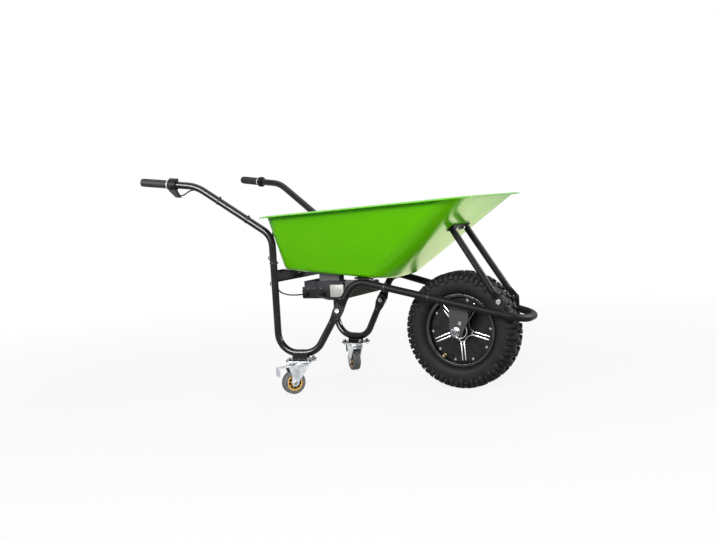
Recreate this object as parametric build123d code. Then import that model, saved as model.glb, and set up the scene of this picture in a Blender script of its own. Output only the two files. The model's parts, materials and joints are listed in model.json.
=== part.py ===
from build123d import *
import math
import os

# An electric wheelbarrow with one motor wheel in front and a braked caster under each leg.
# Millimetres. While it is built, x = 0 is the wheel's axle, +X is forward, +Y is the user's left,
# +Z is up and z = 0 is the ground. The finished pieces move along X to the middle of the whole length.

# Drive wheel
TYRE_OD = 400
TYRE_WIDTH = 100
TREAD_DEPTH = 9
TREAD_PITCHES = 30
TREAD_SLOT = 9
TREAD_CHANNEL = 6
TREAD_CENTRE_HALF = 15
TREAD_SKEW = 18
TYRE_WALL = 8
BEAD_R = 116
RIM_FLANGE_R = 125
RIM_HALF_WIDTH = 32
RIM_FLANGE_T = 4
RIM_BORE_R = 90
RIM_WELL_R = 104
RIM_WELL_HALF = 7
RIM_SHELF = 3
COVER_SEAT = 14
COVER_T = 5
COVER_GAP = 0.5
HUB_BOSS_R = 28
HUB_BOSS_OUT = 40
HUB_LIP = 4
SPOKES = 5
SPOKE_RAISE = 3
SPOKE_HUB_W = 15
SPOKE_RIM_W = 17
SPOKE_ANGLE = -87
COVER_SCREWS = 10
COVER_SCREW_R = 104.5
COVER_SCREW_D = 5
COVER_SCREW_HEAD_D = 9
COVER_SCREW_HEAD_H = 2.5
COVER_SCREW_BITE = 5
VALVE_R = 107.5
VALVE_ANGLE = -126
VALVE_D = 8
VALVE_OUT = 38
SMALL_FIT = 0.1

# Motor
AXLE_D = 20
AXLE_END_D = 16
AXLE_SHOULDER = 64
AXLE_HALF = 88
BEARING_OD = 42
BEARING_W = 12
RUNNING_FIT = 0.05
MAGNET_T = 6
AIR_GAP = 1.5
STATOR_HALF = 11
STATOR_SLOTS = 18
STATOR_SLOT_W = 7
STATOR_SLOT_DEPTH = 22

# Frame tubes: corner points of the bent centre lines, half spans measured from the middle plane
TUBE_OD = 25
TUBE_WALL = 2
HANDLE_END_X = -1085
HANDLE_END_HALF = 313
HANDLE_END_Z = 763
HANDLE_BEND_X = -879
HANDLE_BEND_HALF = 271
HANDLE_BEND_Z = 737
KNEE_X = -613
KNEE_HALF = 212
KNEE_Z = 550
FOOT_REAR_X = -614
FOOT_REAR_HALF = 209
FOOT_FRONT_X = -477
FOOT_FRONT_HALF = 187
FOOT_Z = 138
RUN_BEND_X = -332
RUN_BEND_HALF = 148
RUN_BEND_Z = 385
LOOP_X = 240
LOOP_HALF = 66.5
LOOP_Z = 244
HANDLE_BEND_R = 140
KNEE_R = 70
FOOT_R = 70
RUN_BEND_R = 60
LOOP_R = 58

# Bolted lap joint between each front leg and the loop
JOINT_ALONG = 168
PRESS_LENGTH = 24
TAB_LENGTH = 44
TAB_WIDTH = 36
TAB_T = 5
JOINT_BOLT_D = 10

# Tray of pressed sheet
SHEET = 1.5
RIM_REAR_X = -624
RIM_FRONT_X = 145
RIM_REAR_Z = 619
RIM_FRONT_Z = 650
RIM_REAR_HALF = 305
RIM_FRONT_HALF = 297
RIM_REAR_R = 75
RIM_FRONT_R = 96
LIP_WIDTH = 20
LIP_SKIRT = 9
FLOOR_REAR_X = -600
FLOOR_FRONT_X = -207
FLOOR_REAR_Z = 427
FLOOR_FRONT_Z = 383
FLOOR_REAR_HALF = 172
FLOOR_FRONT_HALF = 141
FLOOR_CORNER_R = 53
FLOOR_FILLET = 25

# Bars under the tray
REAR_BAR_H = 42
REAR_BAR_T = 5
REAR_BAR_FLANGE = 58
REAR_BAR_FLANGE_HALF = 160
FRONT_BAR_W = 44
FRONT_BAR_T = 6
FRONT_BAR_X = -303
FRONT_BAR_OVERHANG = 14
TRAY_BOLT_D = 8
BRACKET_T = 9
BRACKET_H = 16
BRACKET_Z = 554
BRACKET_IN = 148
BRACKET_BOLT_IN = 164

# Stays from the loop to the tray's front wall
STAY_OD = 22
STAY_WALL = 2
STAY_FOOT_X = 159
STAY_FOOT_HALF = 70
STAY_FOOT_Z = 302
STAY_TOP_X = -1
STAY_TOP_HALF = 61
STAY_PRESS_LENGTH = 22
STAY_TAB_WIDTH = 30
STAY_TAB_T = 5
STAY_TAB_END = 15
STAY_BOLT_D = 10
LUG_T = 6
LUG_WIDTH = 32
LUG_ABOVE = 13
BRIDGE_LENGTH = 150
BRIDGE_WIDTH = 28
BRIDGE_T = 4
BRIDGE_BOLT_HALF = 32

# Dropout plates
DROPOUT_T = 6
DROPOUT_REAR_X = -20
DROPOUT_FRONT_X = 46
DROPOUT_WAIST_UP = 38
DROPOUT_END_R = 24
DROPOUT_SLOT_GAP = 0.4
TORQUE_BOLT_X = 17
TORQUE_BOLT_UP = 30
TORQUE_BOLT_D = 8
AXLE_WASHER_T = 2.5
AXLE_WASHER_D = 32
AXLE_NUT_AF = 24
AXLE_NUT_H = 12

# Casters
CASTER_H = 113
CASTER_WHEEL_D = 80
CASTER_TRAIL = 34
CASTER_X = -532
CASTER_HALF = 199
RIGHT_TRAIL_ANGLE = 236
LEFT_TRAIL_ANGLE = 137
CASTER_TREAD_W = 29
CASTER_TREAD_T = 11
CASTER_HUB_W = 30
CASTER_HUB_D = 20
CASTER_CORE_W = 20
CASTER_CORE_RIM = 4
CASTER_WEB = 6
CASTER_SLOTS = 6
CASTER_SLOT_D = 8
CASTER_AXLE_D = 8
FORK_T = 3
FORK_SIDE_GAP = 1
FORK_TOP_D = 56
FORK_END_R = 13
FORK_EAR_BACK = 57
FORK_EAR_LOW_Z = 72
FORK_CUP_GAP = 0.3
KING_PIN_D = 12
KING_HEAD_D = 22
KING_HEAD_H = 3
RACE_CUP_H = 6
RACE_CUP_D = 50
PLATE_L = 95
PLATE_W = 64
PLATE_T = 3
PLATE_HOLE_L = 75
PLATE_HOLE_W = 44
PLATE_BOLT_D = 8
MOUNT_BASE_T = 4
MOUNT_BLOCK_L = 56
MOUNT_BLOCK_W = 20

# Brake pedals
PEDAL_PIVOT_BACK = 22
PEDAL_PIVOT_Z = 93
PEDAL_PIN_D = 6
PEDAL_BARREL_D = 11
PEDAL_T = 3
PEDAL_WIDTH = 28
PEDAL_REACH = 66
PEDAL_DROP = 30
PEDAL_SIDE_GAP = 0.5

# Battery box
BOX_REAR_X = -560
BOX_FRONT_X = -375
BOX_HALF = 125
BOX_BOTTOM_Z = 320
BOX_SPLIT_Z = 352
BOX_TOP_Z = 360
BOX_WALL = 3
BOX_CORNER_R = 10
BOX_RIBS = 3
BOX_RIB_H = 3
PACK_L = 112
PACK_W = 200
PACK_H = 28
CONTROLLER_L = 46
CONTROLLER_W = 130
CONTROLLER_H = 30
CONTROLLER_FINS = 6
HANGER_Y = 78
HANGER_T = 4
HANGER_FLANGE = 22
HANGER_INSET = 12
RIGHT_HANGER = (-510, -430)
LEFT_HANGER = (-552, -500)
LID_RIDGE_H = 20
LID_SIDE_RIDGE = ((-543, -394), (-122, -102))
LID_REAR_RIDGE = ((-557, -528), (-108, 60))
BOX_SCREW_D = 4
BOX_SCREW_HEAD_D = 8
BOX_SCREW_HEAD_H = 2.2
GLAND_D = 16
GLAND_OUT = 14
GLAND_Z = 338
THROTTLE_GLAND_X = -538
MOTOR_GLAND_X = -470

# Hand grips, measured along each handle from the end of its tube
GRIP_OD = 30
GRIP_CAP = 4
THROTTLE_GRIP_LENGTH = 106
LEFT_GRIP_LENGTH = 99
GRIP_RIBS = 10
GRIP_RIB_W = 3
GRIP_RIB_H = 1
GRIP_FIT = 0.1
GRIP_END_GAP = 0.5
HOUSING_GAP = 0.6
HOUSING_OD = 40
HOUSING_LENGTH = 28
NOZZLE_DROP = 44
NOZZLE_LEAN = 18
NOZZLE_TIP = 14
NOZZLE_W = 22
NOZZLE_CABLE = 36
POD_LENGTH = 26
POD_W = 20
POD_TOP = 23
SWITCH_L = 15
SWITCH_W = 10
SWITCH_H = 6
SWITCH_PIN_D = 3
SWITCH_GAP = 0.5
SWITCH_SINK = 3
CLAMP_SCREW_D = 5
COLLAR_LENGTH = 14

# Cables and ties
THROTTLE_CABLE_D = 5
MOTOR_CABLE_D = 6
TIE_T = 1.4
TIE_W = 4.8
TIE_GAP = 0.3
LEG_TIE_Z = 455

AXLE_Z = TYRE_OD / 2
RIGHT = -1
LEFT = 1
SIDE_NAMES = {RIGHT: "right", LEFT: "left"}

pieces = {}


# Shared shapes

def bent_rod(points, radii, diameter):
    """A round rod along straight runs joined by tangent arcs."""
    path = FilletPolyline(*points, radius=radii)
    start = Plane(origin=path @ 0, z_dir=path % 0)
    return sweep(start * Circle(diameter / 2), path=path)


def rod_between(start, end, diameter):
    """A straight round rod between two points."""
    start = Vector(*start)
    along = Vector(*end) - start
    return extrude(Plane(origin=start, z_dir=along) * Circle(diameter / 2), along.length)


def across(direction, towards):
    """The part of one direction that is square to another, as a unit vector."""
    return (towards - direction * towards.dot(direction)).normalized()


def hex_bolt(plane, diameter, grip, nut=True, head_h=None):
    """A hexagon bolt whose head sits on the plane's +Z side, with its shank down -Z through the grip."""
    head_h = head_h or 0.65 * diameter
    head = extrude(RegularPolygon(0.9 * diameter, 6), head_h)
    tail = 1.1 * diameter if nut else 0
    shank = Pos(0, 0, -(grip + tail) / 2) * Cylinder(diameter / 2, grip + tail)
    solids = [plane * (head + shank)]
    if nut:
        solids.append(hex_nut(plane.offset(-grip), diameter))
    return solids


def hex_nut(plane, diameter):
    """A hexagon nut on the plane's -Z side."""
    ring = RegularPolygon(0.9 * diameter, 6) - Circle(diameter / 2)
    return plane * extrude(ring, -0.8 * diameter)


def weld_stud(plane, diameter, grip):
    """A stud welded on at the plane, down -Z through the grip, with its nut."""
    length = grip + 1.1 * diameter
    stud = plane * Pos(0, 0, -length / 2) * Cylinder(diameter / 2, length)
    return [stud, hex_nut(plane.offset(-grip), diameter)]


def hole(plane, diameter, depth):
    """A round cutter down the plane's -Z side, started a little above it."""
    return plane * Pos(0, 0, -depth / 2) * Cylinder(diameter / 2, 1.2 * depth)


def pressed_end(plane, side, width, thickness, press, length, tube_od, bolt_d, bolt_back):
    """A tube's end pressed flat. The plane's +Z runs out along the tube, with the tab on one side of Y = 0."""
    flat = Pos(0, side * thickness / 2, press) * Ellipse(width / 2, thickness / 2)
    neck = loft([Circle(tube_od / 2), flat])
    tab = Pos(0, side * thickness / 2, press + length / 2) * Box(width, thickness, length)
    end_edges = tab.edges().filter_by(Axis.Y).group_by(Axis.Z)[-1]
    tab = fillet(end_edges, width * 0.45)
    bolt_hole = Pos(0, 0, press + length - bolt_back) * Rot(90, 0, 0) * Cylinder(bolt_d / 2, 4 * thickness)
    return plane * (neck + tab - bolt_hole)


# Drive wheel, built about the Y axis and lifted to the axle

def lift(shape):
    return Pos(0, 0, AXLE_Z) * shape


def wheel_place(radius, angle, y):
    """A point on the wheel: an angle of 0 points forward and 90 points up."""
    turn = math.radians(angle)
    return (radius * math.cos(turn), y, radius * math.sin(turn))


def tyre():
    outer_r = TYRE_OD / 2
    half = TYRE_WIDTH / 2
    bead_out = RIM_HALF_WIDTH - 0.2
    bead_in = bead_out - 1.5 * TYRE_WALL
    shoulder_r = outer_r - 6
    shoulder_y = half - 7
    base_r = outer_r - TREAD_DEPTH
    wide_r = (BEAD_R + outer_r) / 2 + 3
    outside = [
        Line((BEAD_R, -bead_in), (BEAD_R, -bead_out)),
        Line((BEAD_R, -bead_out), (RIM_FLANGE_R, -bead_out)),
        Spline((RIM_FLANGE_R, -bead_out), (RIM_FLANGE_R + 14, -half + 6), (wide_r, -half),
               (shoulder_r - 10, -half + 4)),
        Line((shoulder_r - 10, -half + 4), (shoulder_r, -shoulder_y)),
    ]
    crown = ThreePointArc((shoulder_r, -shoulder_y), (outer_r, 0), (shoulder_r, shoulder_y))
    inside = [
        Line((BEAD_R, -bead_in), (BEAD_R + TYRE_WALL, -bead_in)),
        Spline((BEAD_R + TYRE_WALL, -bead_in), (RIM_FLANGE_R + 12, -half + 6 + TYRE_WALL),
               (wide_r, -half + TYRE_WALL), (shoulder_r - 18, -half + 4 + TYRE_WALL)),
    ]
    inner_shoulder = (shoulder_r - 18, half - 4 - TYRE_WALL)
    liner = ThreePointArc((inner_shoulder[0], -inner_shoulder[1]), (base_r - 4, 0), inner_shoulder)
    lower = outside + inside
    upper = [edge.mirror(Plane.XZ) for edge in lower]
    carcass = revolve(make_face(lower + upper + [crown, liner]), Axis.Y)
    cutters = []
    for side in (RIGHT, LEFT):
        channel = Pos(base_r + outer_r / 2, side * TREAD_CENTRE_HALF) * Rectangle(outer_r, TREAD_CHANNEL)
        cutters.append(revolve(channel, Axis.Y))
    pitch = 360 / TREAD_PITCHES
    slot_height = 3 * TREAD_DEPTH
    for step in range(TREAD_PITCHES):
        # The middle row has a block, not a slot, where the tyre meets the ground
        middle = Pos(base_r + slot_height / 2, 0, 0) * Rot(TREAD_SKEW, 0, 0)
        middle = middle * Box(slot_height, 2 * TREAD_CENTRE_HALF, TREAD_SLOT)
        cutters.append(Rot(0, 90 + (step + 0.5) * pitch, 0) * middle)
        for side in (RIGHT, LEFT):
            reach = half - TREAD_CENTRE_HALF + TREAD_DEPTH
            edge = Pos(base_r - 2 + slot_height / 2, side * (TREAD_CENTRE_HALF + reach / 2), 0)
            edge = edge * Rot(-side * TREAD_SKEW, 0, 0) * Box(slot_height, reach, TREAD_SLOT)
            cutters.append(Rot(0, 90 + step * pitch, 0) * edge)
    return carcass - cutters


def rim():
    shelf_r = BEAD_R - RIM_SHELF
    flange_out = RIM_HALF_WIDTH + RIM_FLANGE_T
    half = [
        (RIM_BORE_R, COVER_SEAT),
        (shelf_r, COVER_SEAT),
        (shelf_r, RIM_HALF_WIDTH + 1),
        (shelf_r + 3, flange_out),
        (RIM_FLANGE_R - 2, flange_out),
        (RIM_FLANGE_R, flange_out - 1.5),
        (RIM_FLANGE_R, RIM_HALF_WIDTH),
        (BEAD_R, RIM_HALF_WIDTH),
        (BEAD_R, RIM_WELL_HALF + 4),
        (RIM_WELL_R, RIM_WELL_HALF),
    ]
    outline = [(r, -y) for r, y in half] + [(r, y) for r, y in reversed(half)]
    body = revolve(make_face(Polyline(*outline, close=True)), Axis.Y)
    holes = []
    for side in (RIGHT, LEFT):
        for place in cover_screw_planes(side):
            holes.append(hole(place.offset(-COVER_T), COVER_SCREW_D, COVER_SCREW_BITE + 0.5))
    return body - holes - valve_axis(COVER_SEAT + 2, RIM_WELL_HALF / 2, VALVE_D)


def cover_screw_planes(side):
    """Planes on a motor cover's outer face, one at each screw, facing outwards."""
    planes = []
    for step in range(COVER_SCREWS):
        angle = SPOKE_ANGLE + (step + 0.5) * 360 / COVER_SCREWS
        place = wheel_place(COVER_SCREW_R, angle, side * (COVER_SEAT + COVER_T))
        planes.append(Plane(origin=place, z_dir=(0, side, 0)))
    return planes


def valve_axis(outer, inner, diameter):
    """A round rod on the tyre valve's line, between two distances out from the wheel's middle, on its right."""
    start = wheel_place(VALVE_R, VALVE_ANGLE, RIGHT * outer)
    end = wheel_place(VALVE_R, VALVE_ANGLE, RIGHT * inner)
    return rod_between(start, end, diameter)


def motor_cover(side):
    """Cast end cover with a bearing boss and raised spokes, built on the +Z side of a flat sketch."""
    outer_r = BEAD_R - RIM_SHELF - COVER_GAP
    disc = Pos(0, 0, COVER_T / 2) * Cylinder(outer_r, COVER_T)
    boss_h = HUB_BOSS_OUT - COVER_SEAT
    boss = Pos(0, 0, boss_h / 2) * Cylinder(HUB_BOSS_R, boss_h)
    spoke = make_face(Polyline(
        (HUB_BOSS_R - 4, -SPOKE_HUB_W / 2), (COVER_SCREW_R, -SPOKE_RIM_W / 2),
        (COVER_SCREW_R, SPOKE_RIM_W / 2), (HUB_BOSS_R - 4, SPOKE_HUB_W / 2), close=True))
    raised = extrude(spoke, COVER_T + SPOKE_RAISE)
    spokes = [Rot(0, 0, SPOKE_ANGLE + step * 360 / SPOKES) * raised for step in range(SPOKES)]
    seat = Pos(0, 0, (boss_h - HUB_LIP) / 2) * Cylinder(BEARING_OD / 2, boss_h - HUB_LIP)
    eye = Pos(0, 0, boss_h / 2) * Cylinder(AXLE_D / 2 + 1.5, 2 * boss_h)
    blank = disc + boss + spokes - seat - eye
    # A sketch of +X forward and +Y up stands on the right face; the left one is its mirror image
    face = Plane(origin=(0, RIGHT * COVER_SEAT, 0), x_dir=(1, 0, 0), z_dir=(0, RIGHT, 0))
    cover = face * blank
    if side == LEFT:
        cover = cover.mirror(Plane.XZ)
    holes = [hole(place, COVER_SCREW_D + 2 * SMALL_FIT, 2 * COVER_T) for place in cover_screw_planes(side)]
    cover = cover - holes
    if side == RIGHT:
        cover = cover - valve_axis(HUB_BOSS_OUT, COVER_SEAT - 2, VALVE_D + 6)
    return cover


def cover_screws():
    solids = []
    for side in (RIGHT, LEFT):
        for place in cover_screw_planes(side):
            length = COVER_T + COVER_SCREW_BITE
            head = Pos(0, 0, COVER_SCREW_HEAD_H / 2) * Cylinder(COVER_SCREW_HEAD_D / 2, COVER_SCREW_HEAD_H)
            shank = Pos(0, 0, -length / 2) * Cylinder(COVER_SCREW_D / 2 - SMALL_FIT, length)
            solids.append(lift(place * (head + shank)))
    return solids


def bearing(side):
    ring = Circle(BEARING_OD / 2) - Circle(AXLE_D / 2 + RUNNING_FIT)
    outer_y = side * (HUB_BOSS_OUT - HUB_LIP)
    return lift(extrude(Plane(origin=(0, outer_y, 0), z_dir=(0, -side, 0)) * ring, BEARING_W))


def magnet_ring():
    ring = Circle(RIM_BORE_R) - Circle(RIM_BORE_R - MAGNET_T)
    return lift(extrude(Plane.XZ * ring, STATOR_HALF + 1, both=True))


def stator():
    outer_r = RIM_BORE_R - MAGNET_T - AIR_GAP
    core = Circle(outer_r) - Circle(AXLE_D / 2)
    slot = Pos(outer_r - STATOR_SLOT_DEPTH / 2, 0) * Rectangle(STATOR_SLOT_DEPTH, STATOR_SLOT_W)
    slots = [Rot(0, 0, step * 360 / STATOR_SLOTS) * slot for step in range(STATOR_SLOTS)]
    return lift(extrude(Plane.XZ * (core - slots), STATOR_HALF, both=True))


def motor_axle():
    middle = extrude(Plane.XZ * Circle(AXLE_D / 2), AXLE_SHOULDER, both=True)
    ends = extrude(Plane.XZ * Circle(AXLE_END_D / 2), AXLE_HALF, both=True)
    return lift(middle + ends)


def valve_stem():
    stem = valve_axis(VALVE_OUT, RIM_WELL_HALF / 2 + 1, VALVE_D - 2 * SMALL_FIT)
    collar_y = COVER_SEAT + COVER_T + 1
    collar = valve_axis(collar_y + 4, collar_y, VALVE_D + 3)
    return lift(stem + collar)


pieces["drive_tyre"] = lift(tyre())
pieces["wheel_rim"] = lift(rim())
for side in (RIGHT, LEFT):
    pieces[SIDE_NAMES[side] + "_motor_cover"] = lift(motor_cover(side))
pieces["motor_cover_screws"] = cover_screws()
pieces["wheel_bearings"] = [bearing(side) for side in (RIGHT, LEFT)]
pieces["magnet_ring"] = magnet_ring()
pieces["valve_stem"] = valve_stem()
pieces["motor_axle"] = motor_axle()
pieces["motor_stator"] = stator()


# Frame tubes

def handle_points(side):
    return [
        Vector(HANDLE_END_X, side * HANDLE_END_HALF, HANDLE_END_Z),
        Vector(HANDLE_BEND_X, side * HANDLE_BEND_HALF, HANDLE_BEND_Z),
        Vector(KNEE_X, side * KNEE_HALF, KNEE_Z),
        Vector(FOOT_REAR_X, side * FOOT_REAR_HALF, FOOT_Z),
        Vector(FOOT_FRONT_X, side * FOOT_FRONT_HALF, FOOT_Z),
    ]


def run_bend(side):
    return Vector(RUN_BEND_X, side * RUN_BEND_HALF, RUN_BEND_Z)


def loop_corner(side):
    return Vector(LOOP_X, side * LOOP_HALF, LOOP_Z)


def joint_frame(side):
    """Bolt centre, direction up the front leg, and outward normal of the lap joint."""
    foot = handle_points(side)[-1]
    along = (run_bend(side) - foot).normalized()
    return foot + along * JOINT_ALONG, along, across(along, Vector(0, side, 0))


def tab_plane(origin, outward, normal):
    """A plane whose +Z runs out along a tube and whose +Y is the normal of its flat tab."""
    return Plane(origin=origin, x_dir=normal.cross(outward), z_dir=outward)


def handle_rod(side, diameter):
    centre, along, normal = joint_frame(side)
    stop = centre - along * (TAB_LENGTH / 2 + PRESS_LENGTH)
    radii = [HANDLE_BEND_R, KNEE_R, FOOT_R, FOOT_R]
    return bent_rod(handle_points(side) + [stop], radii, diameter)


def loop_rod(diameter):
    ends = {}
    for side in (RIGHT, LEFT):
        centre, along, normal = joint_frame(side)
        ends[side] = centre + along * (TAB_LENGTH / 2 + PRESS_LENGTH)
    points = [ends[RIGHT], run_bend(RIGHT), loop_corner(RIGHT), loop_corner(LEFT), run_bend(LEFT), ends[LEFT]]
    return bent_rod(points, [RUN_BEND_R, LOOP_R, LOOP_R, RUN_BEND_R], diameter)


def joint_tab(side, sign):
    """The pressed end of the leg (sign +1, on the inner side) or of the loop (sign -1, on the outer side)."""
    centre, along, normal = joint_frame(side)
    start = centre - along * sign * (TAB_LENGTH / 2 + PRESS_LENGTH)
    plane = tab_plane(start, along * sign, normal)
    return pressed_end(
        plane, -sign, TAB_WIDTH, TAB_T, PRESS_LENGTH, TAB_LENGTH, TUBE_OD, JOINT_BOLT_D, TAB_LENGTH / 2)


handle_rods = {side: handle_rod(side, TUBE_OD) for side in (RIGHT, LEFT)}
loop_outer = loop_rod(TUBE_OD)
bore = TUBE_OD - 2 * TUBE_WALL
joint_bolts = []
for side in (RIGHT, LEFT):
    tube = handle_rods[side] - handle_rod(side, bore) + joint_tab(side, 1)
    pieces[SIDE_NAMES[side] + "_handle_leg_tube"] = tube
    centre, along, normal = joint_frame(side)
    outer_face = Plane(origin=centre + normal * TAB_T, z_dir=normal)
    joint_bolts += hex_bolt(outer_face, JOINT_BOLT_D, 2 * TAB_T)
pieces["front_loop_tube"] = loop_outer - loop_rod(bore) + joint_tab(RIGHT, -1) + joint_tab(LEFT, -1)
pieces["leg_joint_bolts"] = joint_bolts


def run_place(x, side):
    """A point on the loop's straight side run."""
    share = (x - RUN_BEND_X) / (LOOP_X - RUN_BEND_X)
    return run_bend(side) + (loop_corner(side) - run_bend(side)) * share


# Tray

floor_along = Vector(FLOOR_FRONT_X - FLOOR_REAR_X, 0, FLOOR_FRONT_Z - FLOOR_REAR_Z)
rim_along = Vector(RIM_FRONT_X - RIM_REAR_X, 0, RIM_FRONT_Z - RIM_REAR_Z)
floor_plane = Plane(
    origin=(FLOOR_REAR_X, 0, FLOOR_REAR_Z), x_dir=floor_along, z_dir=floor_along.cross(Vector(0, 1, 0)))
rim_plane = Plane(origin=(RIM_REAR_X, 0, RIM_REAR_Z), x_dir=rim_along, z_dir=rim_along.cross(Vector(0, 1, 0)))
floor_length = floor_along.length
rim_length = rim_along.length


def rounded_four_sides(rear, front, rear_half, front_half, rear_r, front_r):
    """A four-sided outline, symmetric about its X axis, with its own corner radius at each end."""
    sides = make_face(Polyline(
        (rear, -rear_half), (front, -front_half), (front, front_half), (rear, rear_half), close=True))
    sides = fillet(sides.vertices().sort_by(Axis.X)[:2], rear_r)
    return fillet(sides.vertices().sort_by(Axis.X)[-2:], front_r)


def floor_outline(rear_in, side_in, front_in):
    return rounded_four_sides(
        rear_in, floor_length - front_in, FLOOR_REAR_HALF - side_in, FLOOR_FRONT_HALF - side_in,
        FLOOR_CORNER_R - side_in, FLOOR_CORNER_R - side_in)


def rim_outline(rear_in, side_in, front_in):
    return rounded_four_sides(
        rear_in, rim_length - front_in, RIM_REAR_HALF - side_in, RIM_FRONT_HALF - side_in,
        RIM_REAR_R - 0.5 * side_in, RIM_FRONT_R - 0.5 * side_in)


floor_tilt = math.atan2(floor_along.Z, floor_along.X)
rim_tilt = math.atan2(rim_along.Z, rim_along.X)
wall_low = Vector(FLOOR_FRONT_X, 0, FLOOR_FRONT_Z)
wall_high = rim_plane.from_local_coords(Vector(rim_length - LIP_WIDTH, 0, 0))
back_low = Vector(FLOOR_REAR_X, 0, FLOOR_REAR_Z)
back_high = rim_plane.from_local_coords(Vector(LIP_WIDTH, 0, 0))
front_lean = math.atan2(wall_high.Z - wall_low.Z, wall_high.X - wall_low.X)
rear_lean = math.atan2(back_high.Z - back_low.Z, back_low.X - back_high.X)
side_rise = (RIM_REAR_Z + RIM_FRONT_Z - FLOOR_REAR_Z - FLOOR_FRONT_Z) / 2
side_spread = (RIM_REAR_HALF + RIM_FRONT_HALF - FLOOR_REAR_HALF - FLOOR_FRONT_HALF) / 2 - LIP_WIDTH
side_lean = math.atan2(side_rise, side_spread)


def tray_bowl(floor_face, top_face, fillet_r):
    """The tapered body of the tray between its floor and its rim."""
    bowl = loft([floor_face, top_face], ruled=True)
    return fillet(bowl.faces().sort_by(Axis.Z)[0].edges(), fillet_r)


def tray():
    outer = tray_bowl(
        floor_plane * floor_outline(0, 0, 0),
        rim_plane * rim_outline(LIP_WIDTH, LIP_WIDTH, LIP_WIDTH),
        FLOOR_FILLET)
    # Each wall's inner face lies one sheet inside its outer face, so the insets follow from its lean
    floor_leans = (rear_lean + floor_tilt, side_lean, front_lean - floor_tilt)
    floor_insets = [SHEET * math.tan(lean / 2) for lean in floor_leans]
    rim_leans = (rear_lean + rim_tilt, side_lean, front_lean - rim_tilt)
    rim_insets = [LIP_WIDTH + SHEET / math.sin(lean) for lean in rim_leans]
    mouth = rim_outline(*rim_insets)
    inner_floor = floor_plane.offset(SHEET) * floor_outline(*floor_insets)
    inner = tray_bowl(inner_floor, rim_plane * mouth, FLOOR_FILLET - SHEET)
    lip = extrude(rim_plane * (rim_outline(0, 0, 0) - mouth), SHEET)
    skirt = extrude(rim_plane * (rim_outline(0, 0, 0) - rim_outline(SHEET, SHEET, SHEET)), -LIP_SKIRT)
    return outer - inner + lip + skirt


tray_body = tray()


def floor_place(x, below):
    """A point under the tray's floor, on the middle plane, a distance below its lower face."""
    share = (x - FLOOR_REAR_X) / (FLOOR_FRONT_X - FLOOR_REAR_X)
    return Vector(FLOOR_REAR_X, 0, FLOOR_REAR_Z) + floor_along * share - floor_plane.z_dir * below


def under_floor(x, y, below=0.0):
    """A plane parallel to the tray's floor, under it, that faces up."""
    origin = floor_place(x, below) + Vector(0, y, 0)
    return Plane(origin=origin, x_dir=floor_along, z_dir=floor_plane.z_dir)


# Bars under the tray

leg_x = (KNEE_X + FOOT_REAR_X) / 2
leg_half = (KNEE_HALF + FOOT_REAR_HALF) / 2
web_top = floor_place(leg_x, 0).Z
web = Pos(leg_x, 0, web_top - REAR_BAR_H / 2) * Box(REAR_BAR_T, 2 * leg_half, REAR_BAR_H)
flange_middle = under_floor(leg_x + REAR_BAR_FLANGE / 2, 0, REAR_BAR_T / 2)
flange = flange_middle * Box(REAR_BAR_FLANGE, 2 * REAR_BAR_FLANGE_HALF, REAR_BAR_T)
above_floor = under_floor(leg_x, 0) * Pos(0, 0, REAR_BAR_H)
above_floor = above_floor * Box(4 * REAR_BAR_H, 4 * leg_half, 2 * REAR_BAR_H)
pieces["rear_cross_member"] = web + flange - above_floor - handle_rods[RIGHT] - handle_rods[LEFT]

back_along = (back_high - back_low).normalized()
back_out = back_along.cross(Vector(0, 1, 0))
bracket_spot = back_low + (back_high - back_low) * ((BRACKET_Z - back_low.Z) / (back_high.Z - back_low.Z))


def rear_bracket(side):
    """A block welded to the handle tube at its knee, flat against the tray's back wall."""
    reach = KNEE_HALF - BRACKET_IN
    middle = bracket_spot + Vector(0, side * (BRACKET_IN + reach / 2), 0)
    plane = Plane(origin=middle, x_dir=back_along, z_dir=back_out)
    return plane * Pos(0, 0, BRACKET_T / 2) * Box(BRACKET_H, reach, BRACKET_T) - handle_rods[side]


front_bar_half = run_place(FRONT_BAR_X, LEFT).Y + FRONT_BAR_OVERHANG
front_bar = under_floor(FRONT_BAR_X, 0, FRONT_BAR_T / 2) * Box(FRONT_BAR_W, 2 * front_bar_half, FRONT_BAR_T)
pieces["front_cross_member"] = front_bar - loop_outer


# Stays, their lugs on the loop and the bridge on the tray's front wall

wall_along = (wall_high - wall_low).normalized()
wall_out = wall_along.cross(Vector(0, -1, 0))
wall_share = (STAY_TOP_X - FLOOR_FRONT_X) / (wall_high.X - FLOOR_FRONT_X)
wall_spot = wall_low + (wall_high - wall_low) * wall_share
wall_plane = Plane(origin=wall_spot, x_dir=wall_along, z_dir=wall_out)
bridge = wall_plane * Pos(0, 0, BRIDGE_T / 2) * Box(BRIDGE_WIDTH, BRIDGE_LENGTH, BRIDGE_T)


def stay_foot(side):
    return Vector(STAY_FOOT_X, side * STAY_FOOT_HALF, STAY_FOOT_Z)


def stay_frame(side):
    """Bolt centre, direction down the stay to its foot, and normal of its flat tab."""
    top = wall_spot + Vector(0, side * STAY_TOP_HALF, 0)
    down = (stay_foot(side) - top).normalized()
    return stay_foot(side), down, across(down, Vector(0, side, 0))


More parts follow.
